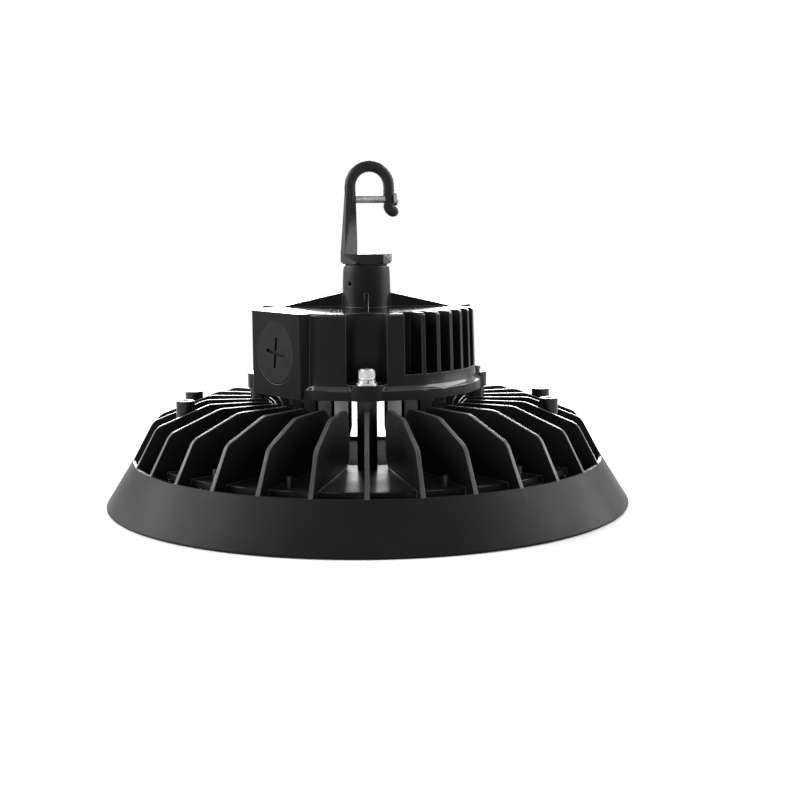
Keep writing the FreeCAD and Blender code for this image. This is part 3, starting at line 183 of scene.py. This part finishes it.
def finish(name, tones, gloss, patch, relief=None, **shading):
    """A material whose tone and gloss wander over patches and whose relief is a finer grain.

    tones: two sRGB codes, or one. gloss: lowest and highest roughness. patch: size in mm and
    squeeze along X, Y and Z. relief: size in mm, depth in mm and squeeze.
    """
    material = bpy.data.materials.new(name)
    material.use_nodes = True
    tree = material.node_tree
    tree.nodes.clear()
    place = add_node(tree, "ShaderNodeTexCoord").outputs["Object"]
    values = {key.replace("_", " "): value for key, value in shading.items()}
    shader = add_node(tree, "ShaderNodeBsdfPrincipled", values=values)
    add_node(tree, "ShaderNodeOutputMaterial", links={"Surface": shader.outputs["BSDF"]})

    squeezed = add_node(tree, "ShaderNodeMapping", values={"Scale": patch[1]},
                        links={"Vector": place})
    patches = add_node(tree, "ShaderNodeTexNoise",
                       values={"Scale": 1.0 / (patch[0] * MM), "Detail": 3.0},
                       links={"Vector": squeezed.outputs["Vector"]})
    if len(tones) == 1:
        shader.inputs["Base Color"].default_value = linear(tones[0])
    else:
        tone = add_node(tree, "ShaderNodeValToRGB", links={"Fac": patches.outputs["Fac"]})
        for element, position, code in zip(tone.color_ramp.elements, TONE_SPAN, tones):
            element.position = position
            element.color = linear(code)
        tree.links.new(tone.outputs["Color"], shader.inputs["Base Color"])
    rough = add_node(tree, "ShaderNodeMapRange",
                     values={"From Min": GLOSS_SPAN[0], "From Max": GLOSS_SPAN[1],
                             "To Min": gloss[0], "To Max": gloss[1]},
                     links={"Value": patches.outputs["Fac"]})
    tree.links.new(rough.outputs["Result"], shader.inputs["Roughness"])
    if relief:
        fine = add_node(tree, "ShaderNodeMapping", values={"Scale": relief[2]},
                        links={"Vector": place})
        grain = add_node(tree, "ShaderNodeTexNoise",
                         values={"Scale": 1.0 / (relief[0] * MM), "Detail": 2.0},
                         links={"Vector": fine.outputs["Vector"]})
        bump = add_node(tree, "ShaderNodeBump", values={"Distance": relief[1] * MM},
                        links={"Height": grain.outputs["Fac"]})
        tree.links.new(bump.outputs["Normal"], shader.inputs["Normal"])
    return material


def powder_coated_casting():
    """Die-cast aluminium under black polyester powder, sprayed and cured.

    The powder flows into a faint orange peel, so highlights are soft and slightly broken, and
    the casting below makes the sheen wander. The peel is drawn at twice its real 0.45 mm.
    """
    return finish("powder_coated_aluminium_casting", ("171718", "111112"), (0.42, 0.48),
                  (30.0, EVEN), (0.9, 0.02, EVEN), IOR=1.5, Specular_IOR_Level=0.09)


def powder_coated_fins():
    """The same powder on the thin fins, which heat through first, so it flows out flatter."""
    return finish("powder_coated_cooling_fins", ("151516", "101011"), (0.22, 0.28),
                  (30.0, EVEN), (0.9, 0.008, EVEN), IOR=1.5, Specular_IOR_Level=0.3)


def powder_coated_housing():
    """The same powder over the smoother driver housing: a little glossier, as it's thicker."""
    return finish("powder_coated_driver_housing", ("171718", "121213"), (0.32, 0.38),
                  (26.0, EVEN), (0.9, 0.015, EVEN), IOR=1.5, Specular_IOR_Level=0.11)


def dull_panel_with_painted_shade():
    """The port panel, whose cast face was blasted before coating: dull, and its black set darker
    than the housing's, a painted shade on the face turned towards the left light.
    """
    return finish("dull_port_panel_with_painted_shade", ("111112", "0d0d0e"), (0.5, 0.56),
                  (26.0, EVEN), (0.7, 0.02, EVEN), IOR=1.5, Specular_IOR_Level=0.04)


def powder_coated_roof():
    """The housing's roof and ledges: they faced up, so the powder flowed out to a gloss."""
    return finish("powder_coated_driver_roof", ("171718", "121213"), (0.1, 0.14),
                  (26.0, EVEN), (0.9, 0.004, EVEN), IOR=1.5, Specular_IOR_Level=0.5)


def powder_coated_plate():
    """The machined plate between the fins, where the powder lies flat with a satin gloss."""
    return finish("powder_coated_flat_plate", ("151516", "101011"), (0.36, 0.44),
                  (18.0, EVEN), (1.4, 0.012, EVEN), IOR=1.5, Specular_IOR_Level=0.11)


def rough_well_painted_shade():
    """The well under the driver: a rough cast skin, its black set darker than the plate's, a
    painted shade under the driver.
    """
    return finish("rough_well_with_painted_shade", ("101010", "0b0b0b"), (0.85, 0.95),
                  (9.0, EVEN), (1.6, 0.08, EVEN), IOR=1.5, Specular_IOR_Level=0.05)


def painted_highlight():
    """A paler, glossier black for rounded edges and upward faces: a painted highlight."""
    return finish("powder_with_painted_highlight", ("353537", "2b2b2d"), (0.36, 0.44),
                  (6.0, EVEN), IOR=1.5, Specular_IOR_Level=0.4)


def coated_hook_steel():
    """Cast steel dipped in black coat: soft waves from the sand mould, a satin gloss."""
    return finish("black_coated_cast_steel", ("1a1a1c", "131314"), (0.38, 0.44),
                  (7.0, EVEN), (1.6, 0.03, EVEN), IOR=1.5, Specular_IOR_Level=0.17)


def black_oxide_steel():
    """Black-oxidised screws: dark, dry and faintly metallic."""
    return finish("black_oxide_steel", ("161617", "202022"), (0.4, 0.5),
                  (2.0, EVEN), (0.4, 0.01, EVEN), IOR=1.5, Specular_IOR_Level=0.4)


def moulded_polyamide():
    """Injection-moulded black polyamide with a fine spark-eroded texture, dull and even."""
    return finish("moulded_black_polyamide", ("151516", "101011"), (0.48, 0.55),
                  (12.0, EVEN), (0.7, 0.015, EVEN), IOR=1.53, Specular_IOR_Level=0.06)


def zinc_plated_steel():
    """Bright zinc on turned steel: pale and cool, slightly clouded, with fine turning marks."""
    return finish("bright_zinc_plated_steel", ("b4b5b7", "c3c4c6"), (0.32, 0.4),
                  (3.0, EVEN), (0.5, 0.006, (1.0, 1.0, 6.0)), Metallic=1.0)


def sheet_aluminium():
    """Mill-finish rolled aluminium sheet; its rolling lines run one way, drawn 1 mm apart."""
    return finish("mill_finish_aluminium_sheet", ("a3a4a6", "bcbdbf"), (0.34, 0.46),
                  (1.0, (0.03, 1.0, 1.0)), (1.0, 0.01, (0.03, 1.0, 1.0)), Metallic=1.0)


def folded_case():
    """The driver's folded case in lightly etched aluminium, with lines drawn 0.8 mm apart."""
    return finish("folded_aluminium_case", ("94959a", "a9abae"), (0.38, 0.48),
                  (0.8, (0.04, 1.0, 1.0)), (0.8, 0.008, (0.04, 1.0, 1.0)), Metallic=1.0)


def black_silicone():
    """Moulded black silicone rubber: matt and faintly dusty, with a broad soft sheen."""
    return finish("black_silicone_rubber", ("141414", "101010"), (0.6, 0.75),
                  (2.5, EVEN), (1.0, 0.02, EVEN), IOR=1.41, Specular_IOR_Level=0.3)


def grey_silicone():
    """Extruded grey silicone rubber of the seals: matt, with dust in its grain."""
    return finish("grey_silicone_rubber", ("7b7b7b", "707070"), (0.6, 0.75),
                  (2.5, EVEN), (1.0, 0.02, EVEN), IOR=1.41)


def solder_mask():
    """White screen-printed solder mask over copper: near white, faintly blotched, half gloss."""
    return finish("white_solder_mask", ("dfe1df", "ebedeb"), (0.3, 0.4),
                  (14.0, EVEN), (3.0, 0.01, EVEN), IOR=1.5)


def package_resin():
    """White moulded resin that frames each LED: bright, matt and fine-grained."""
    return finish("white_package_resin", ("e6e6e2", "f0f0ec"), (0.45, 0.55),
                  (1.5, EVEN), IOR=1.52)


def phosphor():
    """Phosphor in silicone over the LED dies: warm yellow, waxy, speckled at 0.5 mm."""
    return finish("led_phosphor_silicone", ("e3ba48", "f3d777"), (0.3, 0.4),
                  (0.5, EVEN), (0.6, 0.01, EVEN), IOR=1.45)


def terminal_plastic():
    """Moulded white polyamide of the terminal and the sleeve: slightly warm, half gloss."""
    return finish("moulded_white_polyamide", ("e2e0d8", "ece9e2"), (0.36, 0.46),
                  (4.0, EVEN), (0.7, 0.01, EVEN), IOR=1.53)


def clear_polycarbonate():
    """Injection-moulded clear polycarbonate with a very slight flow ripple, 9 mm across."""
    return finish("clear_moulded_polycarbonate", ("f4f7f8",), (0.04, 0.09),
                  (20.0, EVEN), (9.0, 0.02, EVEN), IOR=1.585, Transmission_Weight=1.0)


def shaded_threaded_zinc():
    """Zinc-plated screw with a rolled thread of 0.8 mm pitch, its zinc set darker than the
    bright zinc: a painted shade that holds back its reflection of the white studio.
    """
    material = finish("rolled_thread_zinc_with_painted_shade", ("77787b", "98999c"), (0.34, 0.44),
                      (3.0, EVEN), Metallic=1.0)
    tree = material.node_tree
    shader = next(node for node in tree.nodes if node.type == "BSDF_PRINCIPLED")
    place = add_node(tree, "ShaderNodeTexCoord").outputs["Object"]
    along = add_node(tree, "ShaderNodeMapping",
                     values={"Rotation": (0.0, 0.0, math.radians(-HOOK_TURN))},
                     links={"Vector": place})
    apart = add_node(tree, "ShaderNodeSeparateXYZ", links={"Vector": along.outputs["Vector"]})
    turns = add_node(tree, "ShaderNodeMath", {"operation": "MULTIPLY"},
                     {1: 2 * math.pi / (THREAD_PITCH * MM)}, {0: apart.outputs["X"]})
    crest = add_node(tree, "ShaderNodeMath", {"operation": "SINE"}, links={0: turns.outputs[0]})
    shank = add_node(tree, "ShaderNodeMath", {"operation": "LESS_THAN"},
                     {1: THREAD_END * MM}, {0: apart.outputs["X"]})
    height = add_node(tree, "ShaderNodeMath", {"operation": "MULTIPLY"},
                      links={0: crest.outputs[0], 1: shank.outputs[0]})
    bump = add_node(tree, "ShaderNodeBump", values={"Distance": THREAD_DEPTH * MM},
                    links={"Height": height.outputs[0]})
    tree.links.new(bump.outputs["Normal"], shader.inputs["Normal"])
    return material


MADE = {}


def made(maker):
    """Each finish is made once and shared."""
    if maker not in MADE:
        MADE[maker] = maker()
    return MADE[maker]


# Pieces

def dress(maker, *nodes):
    """Give CAD nodes their finish."""
    for node in nodes:
        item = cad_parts[node]
        item.data.materials.clear()
        item.data.materials.append(made(maker))


def stand_in(name, work, node, makers):
    """Turn a mesh into a piece that replaces a CAD node and rides with the light."""
    mesh = bpy.data.meshes.new(name)
    work.to_mesh(mesh)
    work.free()
    piece = bpy.data.objects.new(name, mesh)
    bpy.context.scene.collection.objects.link(piece)
    for maker in makers:
        mesh.materials.append(made(maker))
    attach(piece, "root")
    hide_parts(node)
    return piece


def copy_of(node):
    """The CAD node's own shape, welded, with its flat faces whole and no very short edge."""
    work = bmesh.new()
    work.from_mesh(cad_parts[node].data)
    bmesh.ops.remove_doubles(work, verts=work.verts, dist=WELD * MM)
    bmesh.ops.dissolve_limit(work, angle_limit=math.radians(FLAT_ANGLE), verts=work.verts,
                             edges=work.edges, delimit={"NORMAL"})
    bmesh.ops.dissolve_degenerate(work, dist=SHORTEST_EDGE * MM, edges=work.edges)
    return work


def settle(piece):
    """Turn a piece's modifiers into its own mesh."""
    graph = bpy.context.evaluated_depsgraph_get()
    shaped = bpy.data.meshes.new_from_object(piece.evaluated_get(graph))
    piece.modifiers.clear()
    piece.data = shaped


def soften(piece, width, highlight_slot=-1, angle=EDGE_ANGLE):
    """Round a piece's sharp edges as its coating does, and keep its flat faces flat.

    A point that a tight corner throws away from the shape is put back onto it.
    """
    sharp = BVHTree.FromPolygons([vert.co.copy() for vert in piece.data.vertices],
                                 [tuple(face.vertices) for face in piece.data.polygons])
    bevel = piece.modifiers.new("soft_edges", "BEVEL")
    bevel.width = width
    bevel.segments = 2
    bevel.limit_method = "ANGLE"
    bevel.angle_limit = math.radians(angle)
    bevel.use_clamp_overlap = False
    bevel.loop_slide = False
    # The rounded edges take the finish in this slot; where that is the paler black, it is a
    # painted highlight.
    bevel.material = highlight_slot
    settle(piece)
    for vert in piece.data.vertices:
        near, _, _, away = sharp.find_nearest(vert.co)
        if away > STRAY * width:
            vert.co = near

    weigh = piece.modifiers.new("flat_faces", "WEIGHTED_NORMAL")
    weigh.weight = 100
    weigh.keep_sharp = True
    piece.data.shade_smooth()
    settle(piece)


def ring(work, radius, height, count, shape="round"):
    """One ring of points about the Z axis; its shape is round, hex, knurled or fluted."""
    points = []
    for index in range(count):
        angle = 2 * math.pi * index / count
        reach = radius
        if shape == "hex":
            reach = radius / math.cos((angle + math.pi / 6) % (math.pi / 3) - math.pi / 6)
            reach *= math.cos(math.pi / 6)
        elif shape == "knurled":
            reach = radius - (KNURL_DEPTH if index % 2 else 0.0)
        elif shape == "fluted":
            reach = radius - FLUTE_DEPTH * max(0.0, math.cos(FLUTES * angle)) ** 2
        points.append(work.verts.new((reach * math.cos(angle) * MM, reach * math.sin(angle) * MM,
                                      height * MM)))
    return points


def lathe(work, rings, count, hollow=False):
    """Skin a row of rings; close its two ends, or join them round a hollow piece."""
    rows = [ring(work, *entry[:2], count, *entry[2:]) for entry in rings]
    for low, high in zip(rows, rows[1:] + rows[:1] if hollow else rows[1:]):
        for index in range(count):
            after = (index + 1) % count
            work.faces.new((low[index], low[after], high[after], high[index]))
    if not hollow:
        work.faces.new(rows[0][::-1])
        work.faces.new(rows[-1])
    bmesh.ops.recalc_face_normals(work, faces=work.faces)


# Sizes and colours that a user would change

class StudioSettings(bpy.types.PropertyGroup):
    left_light: FloatProperty(
        name="Left light", description="Power of the soft light at the left",
        default=32.0, min=0.0, unit="POWER")
    right_light: FloatProperty(
        name="Right light", description="Power of the soft light at the right",
        default=21.0, min=0.0, unit="POWER")
    back_light: FloatProperty(
        name="Back light", description="Power of the low soft light behind the object",
        default=60.0, min=0.0, unit="POWER")
    floor_tint: FloatVectorProperty(
        name="Floor", description="Colour of the plain pale floor",
        default=linear(FLOOR_TINT)[:3], size=3, min=0.0, max=1.0, subtype="COLOR")
    floor_reach: FloatProperty(
        name="Floor reach", description="Distance at which the floor fades into the background",
        default=0.7, min=0.3, unit="LENGTH")


class PieceSettings(bpy.types.PropertyGroup):
    casting_edge: FloatProperty(
        name="Casting edge", description="Rounding of the heat sink's and hook's sharp edges",
        default=0.3 * MM, min=0.05 * MM, max=0.8 * MM, unit="LENGTH", precision=5)
    housing_edge: FloatProperty(
        name="Housing edge", description="Rounding of the driver housing's sharp edges",
        default=0.22 * MM, min=0.05 * MM, max=0.4 * MM, unit="LENGTH", precision=5)
    small_edge: FloatProperty(
        name="Small edge", description="Rounding of the small pieces' sharp edges",
        default=0.2 * MM, min=0.02 * MM, max=0.4 * MM, unit="LENGTH", precision=5)
    knurl_teeth: IntProperty(
        name="Knurl", description="Teeth round each bolt head", default=32, min=12, max=60)
    phosphor_margin: FloatProperty(
        name="LED frame", description="Width of the white frame round each LED's phosphor",
        default=0.42 * MM, min=0.1 * MM, max=1.0 * MM, unit="LENGTH", precision=5)


# Operators

class OBJECT_OT_high_bay_heat_sink(bpy.types.Operator):
    """Round the edges of the heat sink, and part its plate and its well from its fins"""
    bl_idname = "object.high_bay_heat_sink"
    bl_label = "Heat sink"

    def execute(self, context):
        finishes = (powder_coated_casting, powder_coated_plate, rough_well_painted_shade, painted_highlight,
                    powder_coated_fins)
        work = copy_of("heat_sink")
        low, high = WELL_FLOOR - LEVEL_MARGIN, PLATE_TOP + LEVEL_MARGIN
        for face in work.faces:
            height = face.calc_center_median().z / MM
            reach = max(Vector(vert.co[:2]).length for vert in face.verts) / MM
            upward = face.normal.z
            if low < height < high and upward > LEVEL:
                # Level faces within the well, under the driver, take a darker black: painted
                # shade.
                ground = rough_well_painted_shade if reach < WELL_REACH else powder_coated_plate
                face.material_index = finishes.index(ground)
            elif abs(upward) < UPRIGHT and reach < FIN_REACH and height > WELL_FLOOR:
                face.material_index = finishes.index(powder_coated_fins)
            # Upward faces above the plate, the fin tops among them, take the paler black: a
            # painted highlight.
            elif upward > HARDLY_SLOPING and height > high:
                face.material_index = finishes.index(painted_highlight)
        piece = stand_in("heat_sink_casting", work, "heat_sink", finishes)
        # Its rounded edges take the paler black too: a painted highlight.
        soften(piece, context.scene.high_bay_pieces.casting_edge,
               highlight_slot=finishes.index(painted_highlight))
        return {"FINISHED"}


class OBJECT_OT_high_bay_housing(bpy.types.Operator):
    """Round the edges of the driver housing, and part its port panel, roof and ledges"""
    bl_idname = "object.high_bay_housing"
    bl_label = "Driver housing"

    def execute(self, context):
        finishes = (powder_coated_housing, painted_highlight, dull_panel_with_painted_shade,
                    powder_coated_roof)
        work = copy_of("driver_housing")
        outward = Matrix.Rotation(math.radians(PANEL_AZIMUTH), 3, "Z") @ Vector((0.0, -1.0, 0.0))
        for face in work.faces:
            # The face turned towards the left light takes the darker panel black: painted shade.
            if face.normal.dot(outward) > FACING:
                face.material_index = finishes.index(dull_panel_with_painted_shade)
            elif face.normal.z > SLOPING:
                face.material_index = finishes.index(powder_coated_roof)
        piece = stand_in("driver_housing_casting", work, "driver_housing",
                         finishes)
        # Its rounded edges take the paler black: a painted highlight.
        soften(piece, context.scene.high_bay_pieces.housing_edge,
               highlight_slot=finishes.index(painted_highlight))
        return {"FINISHED"}


class OBJECT_OT_high_bay_hook(bpy.types.Operator):
    """Round the edges of the cast hook, and thread the screw across it"""
    bl_idname = "object.high_bay_hook"
    bl_label = "Hook"

    def execute(self, context):
        piece = stand_in("cast_hook", copy_of("hook"), "hook",
                         (coated_hook_steel,))
        soften(piece, context.scene.high_bay_pieces.casting_edge)
        # The screw across the hook takes the darker zinc: painted shade.
        dress(shaded_threaded_zinc, "safety_screw")
        dress(black_oxide_steel, "set_screw")
        return {"FINISHED"}


class OBJECT_OT_high_bay_optics(bpy.types.Operator):
    """Finish the lens and the board, and frame each LED's phosphor"""
    bl_idname = "object.high_bay_optics"
    bl_label = "Lens and board"

    def execute(self, context):
        dress(clear_polycarbonate, "lens")
        dress(solder_mask, "led_board")
        dress(terminal_plastic, "board_connector")
        finishes = (package_resin, phosphor)
        work = copy_of("led_chips")
        lit = [face for face in work.faces if face.normal.z < -LEVEL]
        bmesh.ops.inset_individual(work, faces=lit, depth=-PHOSPHOR_STEP * MM,
                                   thickness=context.scene.high_bay_pieces.phosphor_margin)
        for face in lit:
            face.material_index = finishes.index(phosphor)
        stand_in("led_packages", work, "led_chips", finishes)
        return {"FINISHED"}


class OBJECT_OT_high_bay_driver(bpy.types.Operator):
    """Finish the driver, its base plate and the lead sleeve"""
    bl_idname = "object.high_bay_driver"
    bl_label = "Driver"

    def execute(self, context):
        dress(folded_case, "led_driver")
        dress(sheet_aluminium, "driver_base")
        dress(terminal_plastic, "lead_sleeve")
        return {"FINISHED"}


class OBJECT_OT_high_bay_fittings(bpy.types.Operator):
    """Finish the plug, the gland and the seals, and flute the gland's nut"""
    bl_idname = "object.high_bay_fittings"
    bl_label = "Fittings and seals"

    def execute(self, context):
        dress(moulded_polyamide, "port_plug", "gland_body")
        dress(black_silicone, "plug_seal", "neck_seal", "gland_seal", "gland_insert",
              "sleeve_grommet")
        dress(grey_silicone, "lens_seal", "base_seal")

        work = bmesh.new()
        lathe(work, NUT_RINGS, NUT_POINTS, hollow=True)
        swing = Matrix.Rotation(math.radians(GLAND_AZIMUTH), 4, "Z")
        outward = Matrix.Translation((0.0, -GLAND_OFFSET * MM, GLAND_HEIGHT * MM))
        lean = Matrix.Rotation(math.radians(90.0), 4, "X")
        bmesh.ops.transform(work, matrix=swing @ outward @ lean, verts=work.verts)
        piece = stand_in("fluted_gland_nut", work, "gland_nut",
                         (moulded_polyamide,))
        soften(piece, context.scene.high_bay_pieces.small_edge, angle=NUT_EDGE_ANGLE)
        return {"FINISHED"}


class OBJECT_OT_high_bay_fasteners(bpy.types.Operator):
    """Finish the screws and washers, and knurl the bolts at the front and rear"""
    bl_idname = "object.high_bay_fasteners"
    bl_label = "Fasteners"

    def execute(self, context):
        dress(zinc_plated_steel, "spring_washers", "flat_washers", "board_screws",
              "base_screws", "driver_screws")
        dress(black_oxide_steel, "side_screws", "lens_screws")

        count = 2 * context.scene.high_bay_pieces.knurl_teeth
        both = bmesh.new()
        for side in (-1.0, 1.0):
            work = bmesh.new()
            lathe(work, BOLT_RINGS, count)
            bmesh.ops.translate(work, vec=(0.0, side * BOLT_CIRCLE * MM, 0.0), verts=work.verts)
            part = bpy.data.meshes.new("one_bolt")
            work.to_mesh(part)
            work.free()
            both.from_mesh(part)
            bpy.data.meshes.remove(part)
        piece = stand_in("knurled_bolts", both, "housing_bolts",
                         (zinc_plated_steel,))
        piece.data.shade_smooth()
        piece.data.set_sharp_from_angle(angle=math.radians(BOLT_EDGE_ANGLE))
        return {"FINISHED"}


def soft_light(name, place, aim, width, height, power):
    """A rectangular lamp that points at a place and isn't seen itself."""
    lamp = bpy.data.lights.new(name, "AREA")
    lamp.shape = "RECTANGLE"
    lamp.size, lamp.size_y = width, height
    lamp.energy = power
    item = bpy.data.objects.new(name, lamp)
    bpy.context.scene.collection.objects.link(item)
    item.location = place
    item.rotation_euler = (Vector(aim) - Vector(place)).to_track_quat("-Z", "Y").to_euler()
    item.visible_camera = False


def view_share(tree):
    """The share that is 1 where the camera, a reflection or a clear piece looks at a surface."""
    path = add_node(tree, "ShaderNodeLightPath")
    seen = add_node(tree, "ShaderNodeMath", {"operation": "MAXIMUM"},
                    links={0: path.outputs["Is Camera Ray"], 1: path.outputs["Is Glossy Ray"]})
    both = add_node(tree, "ShaderNodeMath", {"operation": "MAXIMUM"},
                    links={0: seen.outputs[0], 1: path.outputs["Is Transmission Ray"]})
    return both.outputs[0]


class OBJECT_OT_high_bay_stage(bpy.types.Operator):
    """Set up the floor, the lights, the world and the camera"""
    bl_idname = "object.high_bay_stage"
    bl_label = "Stage"

    def execute(self, context):
        scene = context.scene
        settings = scene.high_bay_studio
        scene.view_settings.view_transform = "Standard"

        world = bpy.data.worlds.new("studio_air")
        scene.world = world
        world.use_nodes = True
        tree = world.node_tree
        tree.nodes.clear()
        shade = add_node(tree, "ShaderNodeBackground",
                         values={"Color": linear(WHITE), "Strength": AIR_LIGHT})
        white = add_node(tree, "ShaderNodeBackground",
                         values={"Color": linear(WHITE), "Strength": 1.0})
        mixed = add_node(tree, "ShaderNodeMixShader",
                         links={0: view_share(tree), 1: shade.outputs[0], 2: white.outputs[0]})
        add_node(tree, "ShaderNodeOutputWorld", links={"Surface": mixed.outputs[0]})

        mesh = bpy.data.meshes.new("studio_floor")
        mesh.from_pydata([(-FLOOR_HALF, -FLOOR_HALF, 0), (FLOOR_HALF, -FLOOR_HALF, 0),
                          (FLOOR_HALF, FLOOR_HALF, 0), (-FLOOR_HALF, FLOOR_HALF, 0)],
                         [], [(0, 1, 2, 3)])
        floor = bpy.data.objects.new("studio_floor", mesh)
        floor.location.z = CAD_BOX[0][2] - FLOOR_GAP * MM
        scene.collection.objects.link(floor)
        material = finish("pale_studio_floor", (FLOOR_TINT,), (0.85, 0.95), (60.0, EVEN),
                          Specular_IOR_Level=0.1)
        tree = material.node_tree
        shader = next(node for node in tree.nodes if node.type == "BSDF_PRINCIPLED")
        output = next(node for node in tree.nodes if node.type == "OUTPUT_MATERIAL")
        shader.inputs["Base Color"].default_value = (*settings.floor_tint, 1.0)
        place = add_node(tree, "ShaderNodeTexCoord")
        away = add_node(tree, "ShaderNodeVectorMath", {"operation": "LENGTH"},
                        links={0: place.outputs["Object"]})
        fade = add_node(tree, "ShaderNodeMapRange", {"interpolation_type": "SMOOTHSTEP"},
                        {"From Min": FADE_START * settings.floor_reach,
                         "From Max": settings.floor_reach},
                        {"Value": away.outputs["Value"]})
        share = add_node(tree, "ShaderNodeMath", {"operation": "MULTIPLY"},
                         links={0: fade.outputs["Result"], 1: view_share(tree)})
        white = add_node(tree, "ShaderNodeEmission",
                         values={"Color": linear(WHITE), "Strength": 1.0})
        mixed = add_node(tree, "ShaderNodeMixShader",
                         links={0: share.outputs[0], 1: shader.outputs[0], 2: white.outputs[0]})
        tree.links.new(mixed.outputs[0], output.inputs["Surface"])
        floor.data.materials.append(material)

        soft_light("left_softbox", *LEFT_SOFTBOX, settings.left_light)
        soft_light("right_softbox", *RIGHT_SOFTBOX, settings.right_light)
        soft_light("rear_softbox", *REAR_SOFTBOX, settings.back_light)

        camera = bpy.data.cameras.new("photo_camera")
        camera.sensor_width = CAMERA_SENSOR
        camera.lens = CAMERA_LENS
        item = bpy.data.objects.new("photo_camera", camera)
        scene.collection.objects.link(item)
        yaw = Matrix.Rotation(math.radians(CAMERA_YAW), 4, "Z")
        pitch = Matrix.Rotation(math.radians(90.0 + CAMERA_PITCH), 4, "X")
        roll = Matrix.Rotation(math.radians(CAMERA_ROLL), 4, "Z")
        item.matrix_world = Matrix.Translation(CAMERA_PLACE) @ yaw @ pitch @ roll
        scene.camera = item
        return {"FINISHED"}


class VIEW3D_PT_high_bay(bpy.types.Panel):
    bl_idname = "VIEW3D_PT_high_bay"
    bl_label = TAB
    bl_space_type = "VIEW_3D"
    bl_region_type = "UI"
    bl_category = TAB

    def draw(self, context):
        column = self.layout.column(align=True)
        for operator in OPERATORS:
            column.operator(operator.bl_idname)
        for group in (context.scene.high_bay_pieces, context.scene.high_bay_studio):
            for name in group.__annotations__:
                column.prop(group, name)


OPERATORS = (
    OBJECT_OT_high_bay_heat_sink,
    OBJECT_OT_high_bay_housing,
    OBJECT_OT_high_bay_hook,
    OBJECT_OT_high_bay_optics,
    OBJECT_OT_high_bay_driver,
    OBJECT_OT_high_bay_fittings,
    OBJECT_OT_high_bay_fasteners,
    OBJECT_OT_high_bay_stage,
)
CLASSES = (StudioSettings, PieceSettings, *OPERATORS, VIEW3D_PT_high_bay)


def register():
    for item in CLASSES:
        bpy.utils.register_class(item)
    bpy.types.Scene.high_bay_studio = PointerProperty(type=StudioSettings)
    bpy.types.Scene.high_bay_pieces = PointerProperty(type=PieceSettings)


def unregister():
    del bpy.types.Scene.high_bay_pieces
    del bpy.types.Scene.high_bay_studio
    for item in reversed(CLASSES):
        bpy.utils.unregister_class(item)


def main():
    register()
    bpy.ops.object.high_bay_heat_sink()
    bpy.ops.object.high_bay_housing()
    bpy.ops.object.high_bay_hook()
    bpy.ops.object.high_bay_optics()
    bpy.ops.object.high_bay_driver()
    bpy.ops.object.high_bay_fittings()
    bpy.ops.object.high_bay_fasteners()
    bpy.ops.object.high_bay_stage()


if __name__ == "__main__":
    main()
